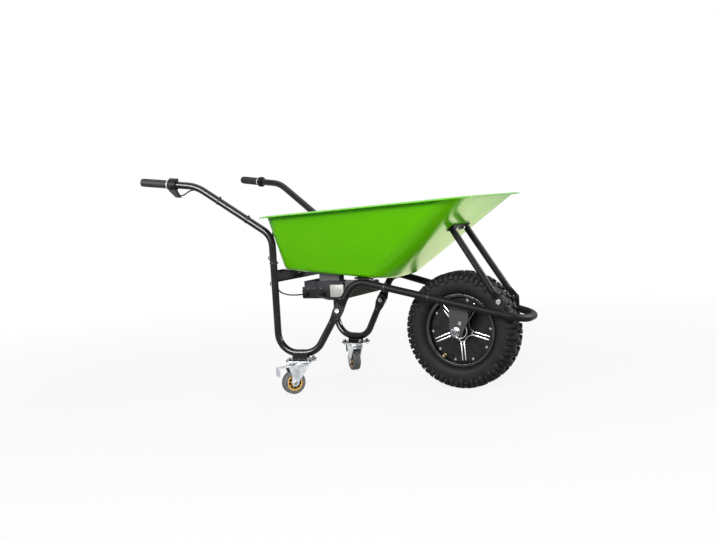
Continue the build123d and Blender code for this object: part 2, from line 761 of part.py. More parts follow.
def stay(side):
    foot, down, normal = stay_frame(side)
    tab = STAY_TAB_END * 2
    neck = foot - down * (tab / 2 + STAY_PRESS_LENGTH)
    top = wall_spot + Vector(0, side * STAY_TOP_HALF, 0)
    beyond = top - down * STAY_OD
    tube = rod_between(neck, beyond, STAY_OD) - rod_between(neck, beyond, STAY_OD - 2 * STAY_WALL)
    end = pressed_end(tab_plane(neck, down, normal), -1, STAY_TAB_WIDTH, STAY_TAB_T, STAY_PRESS_LENGTH, tab,
                      STAY_OD, STAY_BOLT_D, STAY_TAB_END)
    past_bridge = Pos(0, 0, BRIDGE_T - 2 * STAY_OD) * Box(6 * STAY_OD, 3 * BRIDGE_LENGTH, 4 * STAY_OD)
    past_bridge = wall_plane * past_bridge
    return tube + end - past_bridge


def stay_lug(side):
    """A plate on the loop, against the outer face of a stay's flat foot."""
    foot, down, normal = stay_frame(side)
    seat = run_place(STAY_FOOT_X, side)
    up = across(normal, Vector(0, 0, 1))
    forward = up.cross(normal)
    drop = (foot - seat).dot(up)
    plane = Plane(origin=foot + normal * LUG_T / 2, x_dir=forward, z_dir=normal)
    height = drop + LUG_ABOVE
    plate = plane * Pos(0, (LUG_ABOVE - drop) / 2 * plane.y_dir.dot(up)) * Box(LUG_WIDTH, height, LUG_T)
    top_edges = plate.edges().filter_by(lambda edge: abs((edge % 0.5).dot(normal)) > 0.9).sort_by(Axis.Z)[-2:]
    plate = fillet(top_edges, LUG_WIDTH * 0.45)
    cutter = hole(Plane(origin=foot + normal * 2 * LUG_T, z_dir=normal), STAY_BOLT_D, 4 * LUG_T)
    return plate - cutter - loop_outer


stay_bolts = []
for side in (RIGHT, LEFT):
    pieces[SIDE_NAMES[side] + "_tray_stay"] = stay(side)
    foot, down, normal = stay_frame(side)
    stay_bolts += hex_bolt(Plane(origin=foot + normal * LUG_T, z_dir=normal), STAY_BOLT_D, LUG_T + STAY_TAB_T)
pieces["stay_lugs"] = [stay_lug(side) for side in (RIGHT, LEFT)]
pieces["stay_bolts"] = stay_bolts


# What holds the tray: studs welded under its floor go through both bars, and bolts go through its
# front wall into the bridge and through its back wall into the brackets

def floor_stud_planes():
    """Planes on the underside of the tray's floor at each stud, and the thickness of the bar below it."""
    planes = []
    rear_x = leg_x + REAR_BAR_FLANGE - 2 * TRAY_BOLT_D
    for side in (RIGHT, LEFT):
        planes.append((under_floor(rear_x, side * REAR_BAR_FLANGE_HALF * 0.7), REAR_BAR_T))
        planes.append((under_floor(FRONT_BAR_X, side * FLOOR_FRONT_HALF * 0.5), FRONT_BAR_T))
    return planes


def wall_bolt_planes():
    """Planes on the tray's inner face at each bolt, and the thickness that the bolt clamps behind it."""
    planes = []
    for side in (RIGHT, LEFT):
        ahead = wall_spot - wall_out * SHEET + Vector(0, side * BRIDGE_BOLT_HALF, 0)
        behind = bracket_spot - back_out * SHEET + Vector(0, side * BRACKET_BOLT_IN, 0)
        planes.append((Plane(origin=ahead, z_dir=-wall_out), SHEET + BRIDGE_T))
        planes.append((Plane(origin=behind, z_dir=-back_out), SHEET + BRACKET_T))
    return planes


tray_bolts = []
stud_cutters = []
wall_cutters = []
for plane, clamp in floor_stud_planes():
    tray_bolts += weld_stud(plane, TRAY_BOLT_D, clamp)
    stud_cutters.append(hole(plane, TRAY_BOLT_D, 2 * clamp))
for plane, clamp in wall_bolt_planes():
    tray_bolts += hex_bolt(plane, TRAY_BOLT_D, clamp)
    wall_cutters.append(hole(plane, TRAY_BOLT_D, 2 * clamp))
pieces["tray"] = tray_body - wall_cutters
pieces["stay_top_bridge"] = bridge - wall_cutters
pieces["rear_cross_member"] = pieces["rear_cross_member"] - stud_cutters
pieces["front_cross_member"] = pieces["front_cross_member"] - stud_cutters
pieces["rear_tray_brackets"] = [rear_bracket(side) - wall_cutters for side in (RIGHT, LEFT)]
pieces["tray_bolts"] = tray_bolts


# Dropout plates that carry the axle

def torque_bolt_plane(side, out):
    """A plane that faces out at the torque bolt, at a distance from the wheel's middle."""
    return Plane(origin=(TORQUE_BOLT_X, side * out, AXLE_Z + TORQUE_BOLT_UP), z_dir=(0, side, 0))


def dropout(side):
    """A plate beside the wheel, bent out at its top to meet the loop, with a slot for the axle."""
    hang = run_place((DROPOUT_REAR_X + DROPOUT_FRONT_X) / 2, side)
    slope = (loop_corner(side) - run_bend(side)).normalized()
    rise = slope.Z / slope.X
    rear_top = hang.Z + rise * (DROPOUT_REAR_X - hang.X)
    front_top = hang.Z + rise * (DROPOUT_FRONT_X - hang.X)
    waist = AXLE_Z + DROPOUT_WAIST_UP
    blank = make_face(Polyline(
        (-DROPOUT_END_R, AXLE_Z), (DROPOUT_END_R, AXLE_Z), (DROPOUT_FRONT_X, waist),
        (DROPOUT_FRONT_X, front_top), (DROPOUT_REAR_X, rear_top), close=True))
    blank += Pos(0, AXLE_Z) * Circle(DROPOUT_END_R)
    slot_w = AXLE_END_D + DROPOUT_SLOT_GAP
    blank -= Pos(0, AXLE_Z) * Circle(slot_w / 2)
    blank -= Pos(0, AXLE_Z - DROPOUT_END_R) * Rectangle(slot_w, 2 * DROPOUT_END_R)
    inner = AXLE_SHOULDER
    plate_plane = Plane(origin=(0, side * inner, 0), x_dir=(1, 0, 0), z_dir=(0, -1, 0))
    plate = extrude(plate_plane * blank, -side * DROPOUT_T)
    arm_width = abs(hang.Y) - inner
    arm_length = (DROPOUT_FRONT_X - DROPOUT_REAR_X) / slope.X
    arm_middle = (hang.X, side * (inner + arm_width / 2), hang.Z - DROPOUT_T / 2)
    arm_plane = Plane(origin=arm_middle, x_dir=(1, 0, rise))
    square_ends = Box(DROPOUT_FRONT_X - DROPOUT_REAR_X, 4 * arm_width, 4 * arm_width)
    square_ends = Pos(hang.X, hang.Y, hang.Z) * square_ends
    arm = (arm_plane * Box(2 * arm_length, arm_width, DROPOUT_T)) & square_ends
    torque_hole = hole(torque_bolt_plane(side, inner + 2 * DROPOUT_T), TORQUE_BOLT_D, 4 * DROPOUT_T)
    return plate + arm - loop_outer - torque_hole


axle_nuts = []
axle_washers = []
torque_bolts = []
for side in (RIGHT, LEFT):
    pieces[SIDE_NAMES[side] + "_dropout_plate"] = dropout(side)
    outer = AXLE_SHOULDER + DROPOUT_T
    face = Plane(origin=(0, side * outer, AXLE_Z), z_dir=(0, side, 0))
    washer = Circle(AXLE_WASHER_D / 2) - Circle(AXLE_END_D / 2)
    nut = RegularPolygon(AXLE_NUT_AF / 2, 6, major_radius=False) - Circle(AXLE_END_D / 2)
    axle_washers.append(face * extrude(washer, AXLE_WASHER_T))
    axle_nuts.append(face * Pos(0, 0, AXLE_WASHER_T) * extrude(nut, AXLE_NUT_H))
    torque_bolts += hex_bolt(torque_bolt_plane(side, outer), TORQUE_BOLT_D, DROPOUT_T)
pieces["axle_nuts"] = axle_nuts + axle_washers
pieces["torque_bolts"] = torque_bolts


# Casters, each built with its king pin on the Z axis and its wheel behind it on -X

wheel_r = CASTER_WHEEL_D / 2
plate_under = CASTER_H - PLATE_T
cup_under = plate_under - RACE_CUP_H
fork_top = cup_under - FORK_CUP_GAP
fork_inner = CASTER_HUB_W / 2 + FORK_SIDE_GAP
caster_axle_line = Pos(-CASTER_TRAIL, 0, wheel_r) * Rot(90, 0, 0)
pedal_line = Pos(-PEDAL_PIVOT_BACK, 0, PEDAL_PIVOT_Z) * Rot(90, 0, 0)


def plate_hole_places():
    lengths = (-PLATE_HOLE_L / 2, PLATE_HOLE_L / 2)
    widths = (-PLATE_HOLE_W / 2, PLATE_HOLE_W / 2)
    return [(x, y) for x in lengths for y in widths]


def caster_plate():
    """Top plate with the race cup and the riveted king pin."""
    plate = Pos(0, 0, plate_under) * extrude(RectangleRounded(PLATE_L, PLATE_W, 8), PLATE_T)
    cup = Pos(0, 0, plate_under - RACE_CUP_H / 2) * Cylinder(RACE_CUP_D / 2, RACE_CUP_H)
    head_top = fork_top - FORK_T - FORK_CUP_GAP
    pin_length = plate_under - head_top + KING_HEAD_H
    pin = Pos(0, 0, plate_under - pin_length / 2) * Cylinder(KING_PIN_D / 2, pin_length)
    head = Pos(0, 0, head_top - KING_HEAD_H / 2) * Cylinder(KING_HEAD_D / 2, KING_HEAD_H)
    holes = [hole(Plane(origin=(x, y, CASTER_H)), PLATE_BOLT_D, 2 * PLATE_T) for x, y in plate_hole_places()]
    return plate + cup + pin + head - holes


def caster_fork():
    """Pressed fork: a round top and two eared legs down to the axle, with the pedal's pin across."""
    top = Pos(0, 0, fork_top - FORK_T / 2) * Cylinder(FORK_TOP_D / 2, FORK_T)
    half_top = math.sqrt((FORK_TOP_D / 2) ** 2 - (fork_inner + FORK_T) ** 2)
    leg = make_face(Polyline(
        (half_top, fork_top), (half_top, fork_top - 2 * FORK_T), (-CASTER_TRAIL + FORK_END_R, wheel_r),
        (-CASTER_TRAIL - FORK_END_R, wheel_r), (-CASTER_TRAIL - FORK_END_R, FORK_EAR_LOW_Z),
        (-FORK_EAR_BACK, fork_top - 2 * FORK_T), (-half_top, fork_top), close=True))
    leg += Pos(-CASTER_TRAIL, wheel_r) * Circle(FORK_END_R)
    legs = []
    for side in (RIGHT, LEFT):
        inner = Plane(origin=(0, side * fork_inner, 0), x_dir=(1, 0, 0), z_dir=(0, -1, 0))
        legs.append(extrude(inner * leg, -side * FORK_T))
    pin = pedal_line * Cylinder(PEDAL_PIN_D / 2, 2 * (fork_inner + FORK_T))
    pin_hole = Pos(0, 0, fork_top) * Cylinder(KING_PIN_D / 2 + RUNNING_FIT, 4 * FORK_T)
    axle_hole = caster_axle_line * Cylinder(CASTER_AXLE_D / 2, 4 * fork_inner)
    return top + legs + pin - pin_hole - axle_hole


def caster_axle():
    """Axle bolt across the fork with its head and nut."""
    outer = fork_inner + FORK_T
    shank = caster_axle_line * Cylinder(CASTER_AXLE_D / 2, 2 * outer + CASTER_AXLE_D)
    ends = []
    for side in (RIGHT, LEFT):
        place = caster_axle_line * Pos(0, 0, side * (outer + CASTER_AXLE_D * 0.3))
        ends.append(place * extrude(RegularPolygon(CASTER_AXLE_D * 0.9, 6), CASTER_AXLE_D * 0.3, both=True))
    return shank + ends


def caster_core():
    """Wheel centre with a hub, a slotted web and a rim under the tread."""
    rim_r = wheel_r - CASTER_TREAD_T
    hub = Cylinder(CASTER_HUB_D / 2, CASTER_HUB_W)
    ring = Cylinder(rim_r, CASTER_CORE_W) - Cylinder(rim_r - CASTER_CORE_RIM, CASTER_CORE_W)
    web_r = (rim_r - CASTER_CORE_RIM + CASTER_HUB_D / 2) / 2
    slots = []
    for step in range(CASTER_SLOTS):
        slot = Pos(web_r, 0, 0) * Cylinder(CASTER_SLOT_D / 2, CASTER_CORE_W)
        slots.append(Rot(0, 0, step * 360 / CASTER_SLOTS) * slot)
    web_disc = Cylinder(rim_r - CASTER_CORE_RIM / 2, CASTER_WEB) - slots
    bore_cut = Cylinder(CASTER_AXLE_D / 2 + RUNNING_FIT, 2 * CASTER_HUB_W)
    return caster_axle_line * (hub + ring + web_disc - bore_cut)


def caster_tread():
    band = Cylinder(wheel_r, CASTER_TREAD_W)
    band = fillet(band.edges(), CASTER_TREAD_T * 0.4)
    return caster_axle_line * (band - Cylinder(wheel_r - CASTER_TREAD_T, 2 * CASTER_TREAD_W))


def brake_pedal():
    """A lever over the wheel with a turned-down end, on a barrel round the fork's cross pin."""
    back = PEDAL_PIVOT_BACK + PEDAL_REACH
    level = PEDAL_PIVOT_Z + PEDAL_BARREL_D / 2 - PEDAL_T
    profile = make_face(Polyline(
        (-PEDAL_PIVOT_BACK, level), (-PEDAL_PIVOT_BACK, level + PEDAL_T), (-back, level + PEDAL_T),
        (-back - PEDAL_T, level), (-back - PEDAL_T, level - PEDAL_DROP), (-back, level - PEDAL_DROP),
        (-back, level), close=True))
    upright = Plane(origin=(0, 0, 0), x_dir=(1, 0, 0), z_dir=(0, -1, 0))
    lever = extrude(upright * profile, PEDAL_WIDTH / 2, both=True)
    barrel = pedal_line * Cylinder(PEDAL_BARREL_D / 2, 2 * (fork_inner - PEDAL_SIDE_GAP))
    eye = pedal_line * Cylinder(PEDAL_PIN_D / 2 + RUNNING_FIT, 4 * fork_inner)
    return lever + barrel - eye


def caster_mount():
    """A block under the foot tube on a base plate, saddled to the tube."""
    base = Pos(0, 0, CASTER_H) * extrude(RectangleRounded(PLATE_L, PLATE_W, 8), MOUNT_BASE_T)
    block_low = CASTER_H + MOUNT_BASE_T
    block = Pos(0, 0, (block_low + FOOT_Z) / 2) * Box(MOUNT_BLOCK_L, MOUNT_BLOCK_W, FOOT_Z - block_low)
    hole_planes = [Plane(origin=(x, y, block_low)) for x, y in plate_hole_places()]
    holes = [hole(plane, PLATE_BOLT_D, 2 * MOUNT_BASE_T) for plane in hole_planes]
    return base + block - holes


plate_bolts = []
for side, trail_angle in ((RIGHT, RIGHT_TRAIL_ANGLE), (LEFT, LEFT_TRAIL_ANGLE)):
    name = SIDE_NAMES[side]
    foot_turn = math.degrees(math.atan2(side * (FOOT_FRONT_HALF - FOOT_REAR_HALF), FOOT_FRONT_X - FOOT_REAR_X))
    fixed = Pos(CASTER_X, side * CASTER_HALF, 0) * Rot(0, 0, foot_turn)
    swung = Pos(CASTER_X, side * CASTER_HALF, 0) * Rot(0, 0, trail_angle - 180)
    pieces[name + "_caster_mount"] = fixed * caster_mount() - handle_rods[side]
    pieces[name + "_caster_plate"] = fixed * caster_plate()
    pieces[name + "_caster_fork"] = swung * caster_fork()
    pieces[name + "_caster_axle"] = swung * caster_axle()
    pieces[name + "_caster_core"] = swung * caster_core()
    pieces[name + "_caster_tread"] = swung * caster_tread()
    pieces[name + "_brake_pedal"] = swung * brake_pedal()
    for x, y in plate_hole_places():
        under = Plane(origin=(x, y, plate_under), z_dir=(0, 0, -1))
        for solid in hex_bolt(under, PLATE_BOLT_D, PLATE_T + MOUNT_BASE_T, head_h=PLATE_BOLT_D / 2):
            plate_bolts.append(fixed * solid)
pieces["caster_plate_bolts"] = plate_bolts


# Battery box under the tray

box_x = (BOX_REAR_X + BOX_FRONT_X) / 2
box_l = BOX_FRONT_X - BOX_REAR_X
box_w = 2 * BOX_HALF


def box_block(low, high, inset):
    outline = RectangleRounded(box_l - 2 * inset, box_w - 2 * inset, BOX_CORNER_R - inset)
    return Pos(box_x, 0, low) * extrude(outline, high - low)


def box_screw_planes():
    planes = []
    for x in (BOX_REAR_X + BOX_CORNER_R, BOX_FRONT_X - BOX_CORNER_R):
        for y in (-BOX_HALF + BOX_CORNER_R, BOX_HALF - BOX_CORNER_R):
            planes.append(Plane(origin=(x, y, BOX_TOP_Z)))
    return planes


def battery_box():
    tub = box_block(BOX_BOTTOM_Z, BOX_SPLIT_Z, 0)
    tub -= box_block(BOX_BOTTOM_Z + BOX_WALL, BOX_SPLIT_Z + 1, BOX_WALL)
    posts = []
    for plane in box_screw_planes():
        post = Cylinder(BOX_SCREW_D * 1.2, BOX_SPLIT_Z - BOX_BOTTOM_Z)
        posts.append(Pos(plane.origin.X, plane.origin.Y, (BOX_SPLIT_Z + BOX_BOTTOM_Z) / 2) * post)
    ribs = []
    for step in range(BOX_RIBS):
        z = BOX_BOTTOM_Z + (step + 1) * (BOX_SPLIT_Z - BOX_BOTTOM_Z) / (BOX_RIBS + 1)
        rib = RectangleRounded(box_l + BOX_RIB_H, box_w + BOX_RIB_H, BOX_CORNER_R)
        rib -= Rectangle(box_l - 1, box_w - 1)
        ribs.append(Pos(box_x, 0, z) * extrude(rib, BOX_RIB_H / 2, both=True))
    screw_depth = BOX_TOP_Z - BOX_SPLIT_Z + 3 * BOX_SCREW_D
    screw_holes = [hole(plane, BOX_SCREW_D, screw_depth) for plane in box_screw_planes()]
    return tub + posts + ribs - screw_holes - gland_holes


def battery_box_lid():
    lid = box_block(BOX_SPLIT_Z, BOX_TOP_Z, 0) - box_block(BOX_SPLIT_Z - 1, BOX_TOP_Z - BOX_WALL, BOX_WALL)
    posts = []
    for plane in box_screw_planes():
        post = Cylinder(BOX_SCREW_D * 1.2, BOX_TOP_Z - BOX_SPLIT_Z)
        posts.append(Pos(plane.origin.X, plane.origin.Y, (BOX_SPLIT_Z + BOX_TOP_Z) / 2) * post)
    screw_holes = [hole(plane, BOX_SCREW_D, 2 * (BOX_TOP_Z - BOX_SPLIT_Z)) for plane in box_screw_planes()]
    # Two ridges stiffen the lid along its right and rear edges
    ridges = []
    for along, wide in (LID_SIDE_RIDGE, LID_REAR_RIDGE):
        ridge = Box(along[1] - along[0], wide[1] - wide[0], LID_RIDGE_H)
        ridges.append(Pos(sum(along) / 2, sum(wide) / 2, BOX_TOP_Z + LID_RIDGE_H / 2) * ridge)
    return lid + posts + ridges - screw_holes - hanger_screw_holes


def box_screws():
    solids = []
    length = BOX_TOP_Z - BOX_SPLIT_Z + 2.5 * BOX_SCREW_D
    for plane in box_screw_planes():
        head = Pos(0, 0, BOX_SCREW_HEAD_H / 2) * Cylinder(BOX_SCREW_HEAD_D / 2, BOX_SCREW_HEAD_H)
        shank = Pos(0, 0, -length / 2) * Cylinder(BOX_SCREW_D / 2, length)
        solids.append(plane * (head + shank))
    return solids


hanger_spans = {RIGHT: RIGHT_HANGER, LEFT: LEFT_HANGER}


def box_hanger(side):
    """A sheet bracket between the lid and the tray's floor, with a flange on each."""
    rear, front = hanger_spans[side]
    rear_top = floor_place(rear, 0).Z
    front_top = floor_place(front, 0).Z
    face = Plane(origin=(0, side * HANGER_Y, 0), x_dir=(1, 0, 0), z_dir=(0, -1, 0))

    def strip(rear_low, front_low, rear_high, front_high, width, shift):
        outline = make_face(Polyline(
            (rear, rear_low), (front, front_low), (front, front_high), (rear, rear_high), close=True))
        return extrude(face.offset(shift * -side) * outline, width / 2, both=True)

    upright = strip(BOX_TOP_Z, BOX_TOP_Z, rear_top, front_top, HANGER_T, 0)
    reach = (HANGER_FLANGE - HANGER_T) / 2
    foot = strip(BOX_TOP_Z, BOX_TOP_Z, BOX_TOP_Z + HANGER_T, BOX_TOP_Z + HANGER_T, HANGER_FLANGE, reach)
    head = strip(rear_top - HANGER_T, front_top - HANGER_T, rear_top, front_top, HANGER_FLANGE, reach)
    return upright + foot + head - hanger_screw_holes


def hanger_screw_planes():
    planes = []
    for side in (RIGHT, LEFT):
        rear, front = hanger_spans[side]
        for x in (rear + HANGER_INSET, front - HANGER_INSET):
            y = side * (HANGER_Y + HANGER_FLANGE / 2)
            planes.append(Plane(origin=(x, y, BOX_TOP_Z + HANGER_T)))
    return planes


hanger_screw_holes = [hole(plane, BOX_SCREW_D, 3 * HANGER_T) for plane in hanger_screw_planes()]
hanger_screws = []
for plane in hanger_screw_planes():
    hanger_screws += hex_bolt(plane, BOX_SCREW_D, HANGER_T + BOX_WALL)

# Where the two cables enter the box's right face
throttle_gland = Plane(origin=(THROTTLE_GLAND_X, -BOX_HALF, GLAND_Z), z_dir=(0, -1, 0))
motor_gland = Plane(origin=(MOTOR_GLAND_X, -BOX_HALF, GLAND_Z), z_dir=(0, -1, 0))
gland_bore = GLAND_D * 0.7
gland_planes = [plane.offset(BOX_RIB_H) for plane in (throttle_gland, motor_gland)]
gland_holes = [hole(plane, gland_bore, 3 * BOX_WALL) for plane in gland_planes]


def gland(plane, cable_d):
    """A threaded sleeve through the box wall with a hexagon outside, round the cable."""
    seat = BOX_RIB_H / 2
    sleeve = plane * Pos(0, 0, -2 * BOX_WALL) * extrude(Circle(gland_bore / 2), 2 * BOX_WALL + seat)
    body = plane * Pos(0, 0, seat) * extrude(RegularPolygon(GLAND_D / 2, 6), GLAND_OUT - seat)
    return sleeve + body - hole(plane.offset(2 * GLAND_OUT), cable_d, 6 * GLAND_OUT)


pieces["battery_box"] = battery_box()
pieces["battery_box_lid"] = battery_box_lid()
pieces["box_screws"] = box_screws() + hanger_screws
pieces["box_hangers"] = [box_hanger(side) for side in (RIGHT, LEFT)]
pieces["cable_glands"] = [gland(throttle_gland, THROTTLE_CABLE_D), gland(motor_gland, MOTOR_CABLE_D)]
pack_x = BOX_REAR_X + BOX_WALL + BOX_CORNER_R + PACK_L / 2
inside_floor = BOX_BOTTOM_Z + BOX_WALL
pieces["battery_pack"] = Pos(pack_x, 0, inside_floor + PACK_H / 2) * Box(PACK_L, PACK_W, PACK_H)
controller_x = BOX_FRONT_X - BOX_WALL - CONTROLLER_L / 2 - 1
controller = Box(CONTROLLER_L, CONTROLLER_W, CONTROLLER_H)
controller = Pos(controller_x, 0, inside_floor + CONTROLLER_H / 2) * controller
fin_pitch = CONTROLLER_L / CONTROLLER_FINS
fin_cuts = []
for step in range(CONTROLLER_FINS - 1):
    x = controller_x - CONTROLLER_L / 2 + (step + 1) * fin_pitch
    fin_cut = Box(fin_pitch / 2, 2 * CONTROLLER_W, CONTROLLER_H / 2)
    fin_cuts.append(Pos(x, 0, inside_floor + CONTROLLER_H) * fin_cut)
pieces["motor_controller"] = controller - fin_cuts


# Hand grips, in a frame with +Z along the handle and +X up

def handle_frame(side):
    points = handle_points(side)
    along = (points[1] - points[0]).normalized()
    return Plane(origin=points[0], x_dir=across(along, Vector(0, 0, 1)), z_dir=along)


def grip_sleeve(length):
    body = Pos(0, 0, (length - GRIP_CAP) / 2) * Cylinder(GRIP_OD / 2 - GRIP_RIB_H, length + GRIP_CAP)
    body = fillet(body.edges().sort_by(Axis.Z)[0], GRIP_CAP * 0.8)
    ribs = []
    pitch = length / (GRIP_RIBS + 1)
    for step in range(GRIP_RIBS):
        ribs.append(Pos(0, 0, (step + 1) * pitch) * Cylinder(GRIP_OD / 2, GRIP_RIB_W))
    return body + ribs


def tube_room(gap):
    """The space that the handle's tube takes inside a grip."""
    length = 2 * THROTTLE_GRIP_LENGTH
    return Pos(0, 0, length / 2 - GRIP_END_GAP) * Cylinder(TUBE_OD / 2 + gap, length)


housing_start = THROTTLE_GRIP_LENGTH + HOUSING_GAP
housing_middle = housing_start + HOUSING_LENGTH / 2
nozzle_end = housing_middle + NOZZLE_LEAN + NOZZLE_TIP
tube_line = Cylinder(TUBE_OD / 2, 4 * housing_start)
switch_z = housing_middle + 2
switch_x = POD_TOP - SWITCH_SINK
switch_pin = Pos(switch_x, 0, switch_z) * Rot(90, 0, 0)


def throttle_housing():
    """Clamp round the handle with a switch pod on top and a cable nozzle below."""
    body = Pos(0, 0, housing_middle) * Cylinder(HOUSING_OD / 2, HOUSING_LENGTH)
    nozzle = make_face(Polyline(
        (0, housing_start),
        (-HOUSING_OD * 0.55, housing_start + 4),
        (-NOZZLE_DROP, housing_middle + NOZZLE_LEAN),
        (-NOZZLE_DROP, nozzle_end), (-HOUSING_OD * 0.5, housing_start + HOUSING_LENGTH),
        (0, housing_start + HOUSING_LENGTH), close=True))
    side_face = Plane(origin=(0, 0, 0), x_dir=(1, 0, 0), z_dir=(0, -1, 0))
    nozzle = extrude(side_face * nozzle, NOZZLE_W / 2, both=True)
    pod = Pos(POD_TOP / 2, 0, switch_z) * Box(POD_TOP, POD_W, POD_LENGTH)
    recess_depth = 2 * SWITCH_H
    recess = Box(recess_depth, SWITCH_W + 2 * SWITCH_GAP, SWITCH_L + 4 * SWITCH_GAP)
    recess = Pos(switch_x - SWITCH_H / 2 - 2 + recess_depth / 2, 0, switch_z) * recess
    pin_hole = switch_pin * Cylinder(SWITCH_PIN_D / 2 + RUNNING_FIT, POD_W - 4)
    screw_holes = [hole(plane, CLAMP_SCREW_D, HOUSING_OD) for plane in clamp_screw_planes()]
    cable_hole = hole(Plane(origin=(-NOZZLE_CABLE, 0, nozzle_end)), THROTTLE_CABLE_D, 12)
    return body + nozzle + pod - tube_line - recess - pin_hole - screw_holes - cable_hole


def clamp_screw_planes():
    """Two screws that run up through the housing beside the tube."""
    y = TUBE_OD / 2 + CLAMP_SCREW_D / 2 + 0.5
    low = -HOUSING_OD * 0.25
    along = housing_start + HOUSING_LENGTH * 0.3
    return [Plane(origin=(low, side * y, along), z_dir=(-1, 0, 0)) for side in (RIGHT, LEFT)]


def clamp_screw(plane):
    length = HOUSING_OD * 0.45
    head = Pos(0, 0, -CLAMP_SCREW_D * 0.2) * Cylinder(CLAMP_SCREW_D / 2, CLAMP_SCREW_D * 0.4)
    shank = Pos(0, 0, -length / 2) * Cylinder(CLAMP_SCREW_D / 2, length)
    return plane * (head + shank)


def direction_switch():
    rocker = Pos(switch_x, 0, switch_z) * Box(SWITCH_H, SWITCH_W, SWITCH_L)
    rocker = fillet(rocker.edges().filter_by(Axis.Y).group_by(Axis.X)[0], SWITCH_H * 0.45)
    return rocker + switch_pin * Cylinder(SWITCH_PIN_D / 2, POD_W - 5)


right_handle = handle_frame(RIGHT)
left_handle = handle_frame(LEFT)
pieces["throttle_grip"] = right_handle * (grip_sleeve(THROTTLE_GRIP_LENGTH) - tube_room(GRIP_FIT))
pieces["throttle_housing"] = right_handle * throttle_housing()
pieces["throttle_clamp_screws"] = [right_handle * clamp_screw(plane) for plane in clamp_screw_planes()]
pieces["direction_switch"] = right_handle * direction_switch()
collar_middle = LEFT_GRIP_LENGTH + HOUSING_GAP + COLLAR_LENGTH / 2
collar = Pos(0, 0, collar_middle) * Cylinder(HOUSING_OD / 2, COLLAR_LENGTH)
collar = fillet(collar.edges(), COLLAR_LENGTH * 0.12)
pieces["left_grip"] = left_handle * (grip_sleeve(LEFT_GRIP_LENGTH) - tube_room(0))
pieces["left_grip_collar"] = left_handle * (collar - tube_line)


# Cables, held along the tubes by ties

def cable(name, points, diameter):
    """A round cable with each bend as wide as its runs allow."""
    points = [Vector(*point) for point in points]
    runs = [(b - a) for a, b in zip(points, points[1:])]
    radii = []
    for before, after in zip(runs, runs[1:]):
        half_turn = math.radians(before.get_angle(after)) / 2
        radii.append(0.45 * min(before.length, after.length) / math.tan(half_turn))
    print(name, "bend radii", [round(radius) for radius in radii])
    path = FilletPolyline(*points, radius=radii)
    solid = sweep(Plane(origin=path @ 0, z_dir=path % 0) * Circle(diameter / 2), path=path)
    share = solid.volume / (path.length * math.pi * diameter ** 2 / 4)
    print(name, "length", round(path.length), "volume over section times length", round(share, 4))
    return solid


def beside(centre, along, towards, diameter):
    """The middle of a cable that lies against a frame tube on the side named."""
    return centre + across(along, towards) * (TUBE_OD / 2 + diameter / 2 + TIE_GAP)


def tie(centre, along, towards, diameter):
    """A cable tie pulled round a frame tube and the cable beside it, with its lock."""
    plane = Plane(origin=centre, x_dir=across(along, towards), z_dir=along)
    reach = TUBE_OD / 2 + diameter / 2 + TIE_GAP
    held = make_hull((Circle(TUBE_OD / 2).edges() + (Pos(reach, 0) * Circle(diameter / 2)).edges()))
    band = offset(held, TIE_T) - held
    strap = extrude(band, TIE_W / 2, both=True)
    lock = Pos(0, TUBE_OD / 2 + TIE_T * 1.5, 0) * Box(TIE_W * 1.3, TIE_T * 3, TIE_W * 1.3)
    lock -= Cylinder(TUBE_OD / 2 + TIE_T / 2, 2 * TIE_W)
    return plane * (strap + lock)


inward = Vector(0, 1, 0)
points = handle_points(RIGHT)
slope_along = (points[2] - points[1]).normalized()
leg_along = (points[3] - points[2]).normalized()
leg_side = Vector(-0.6, 1, 0)
run_along = (loop_corner(RIGHT) - run_bend(RIGHT)).normalized()


def by_handle(up, out, along):
    """A point given by its height over the right handle's axis, its distance out and its place along."""
    return right_handle.from_local_coords(Vector(up, out, along))


def on_slope(share):
    return beside(points[1] + (points[2] - points[1]) * share, slope_along, inward, THROTTLE_CABLE_D)


def leg_place(z):
    return points[2] + leg_along * ((z - points[2].Z) / leg_along.Z)


def on_leg(z):
    return beside(leg_place(z), leg_along, leg_side, THROTTLE_CABLE_D)


def on_run(x):
    return beside(run_place(x, RIGHT), run_along, inward, MOTOR_CABLE_D)


pieces["throttle_cable"] = cable("throttle_cable", [
    by_handle(-NOZZLE_CABLE, 0, nozzle_end - 12),
    by_handle(-NOZZLE_CABLE, 0, nozzle_end + 10),
    by_handle(-13, -16, nozzle_end + 32),
    on_slope(0.13),
    on_slope(0.78),
    (-634, -190, 550),
    on_leg(498),
    on_leg(380),
    (-610, -187, 348),
    (-574, -184, 339),
    throttle_gland.offset(45).origin,
    throttle_gland.offset(-2).origin,
], THROTTLE_CABLE_D)

pieces["motor_cable"] = cable("motor_cable", [
    motor_gland.offset(-2).origin,
    motor_gland.offset(47).origin,
    (-420, -178, 322),
    (-392, -150, 324),
    (-365, -134, 344),
    (-330, -130, 366),
    on_run(-262),
    on_run(-60),
    (-44, -80, 292),
    (-38, -62, 252),
    (-30, -57, 222),
    (-30 * AXLE_D / 74, -57, AXLE_Z + 22 * AXLE_D / 74),
], MOTOR_CABLE_D)

ties = []
for share in (0.3, 0.68):
    ties.append(tie(points[1] + (points[2] - points[1]) * share, slope_along, inward, THROTTLE_CABLE_D))
ties.append(tie(leg_place(LEG_TIE_Z), leg_along, leg_side, THROTTLE_CABLE_D))
for x in (-225, -75):
    ties.append(tie(run_place(x, RIGHT), run_along, inward, MOTOR_CABLE_D))
pieces["cable_ties"] = ties


# Move the finished pieces to the middle of the whole length and write them

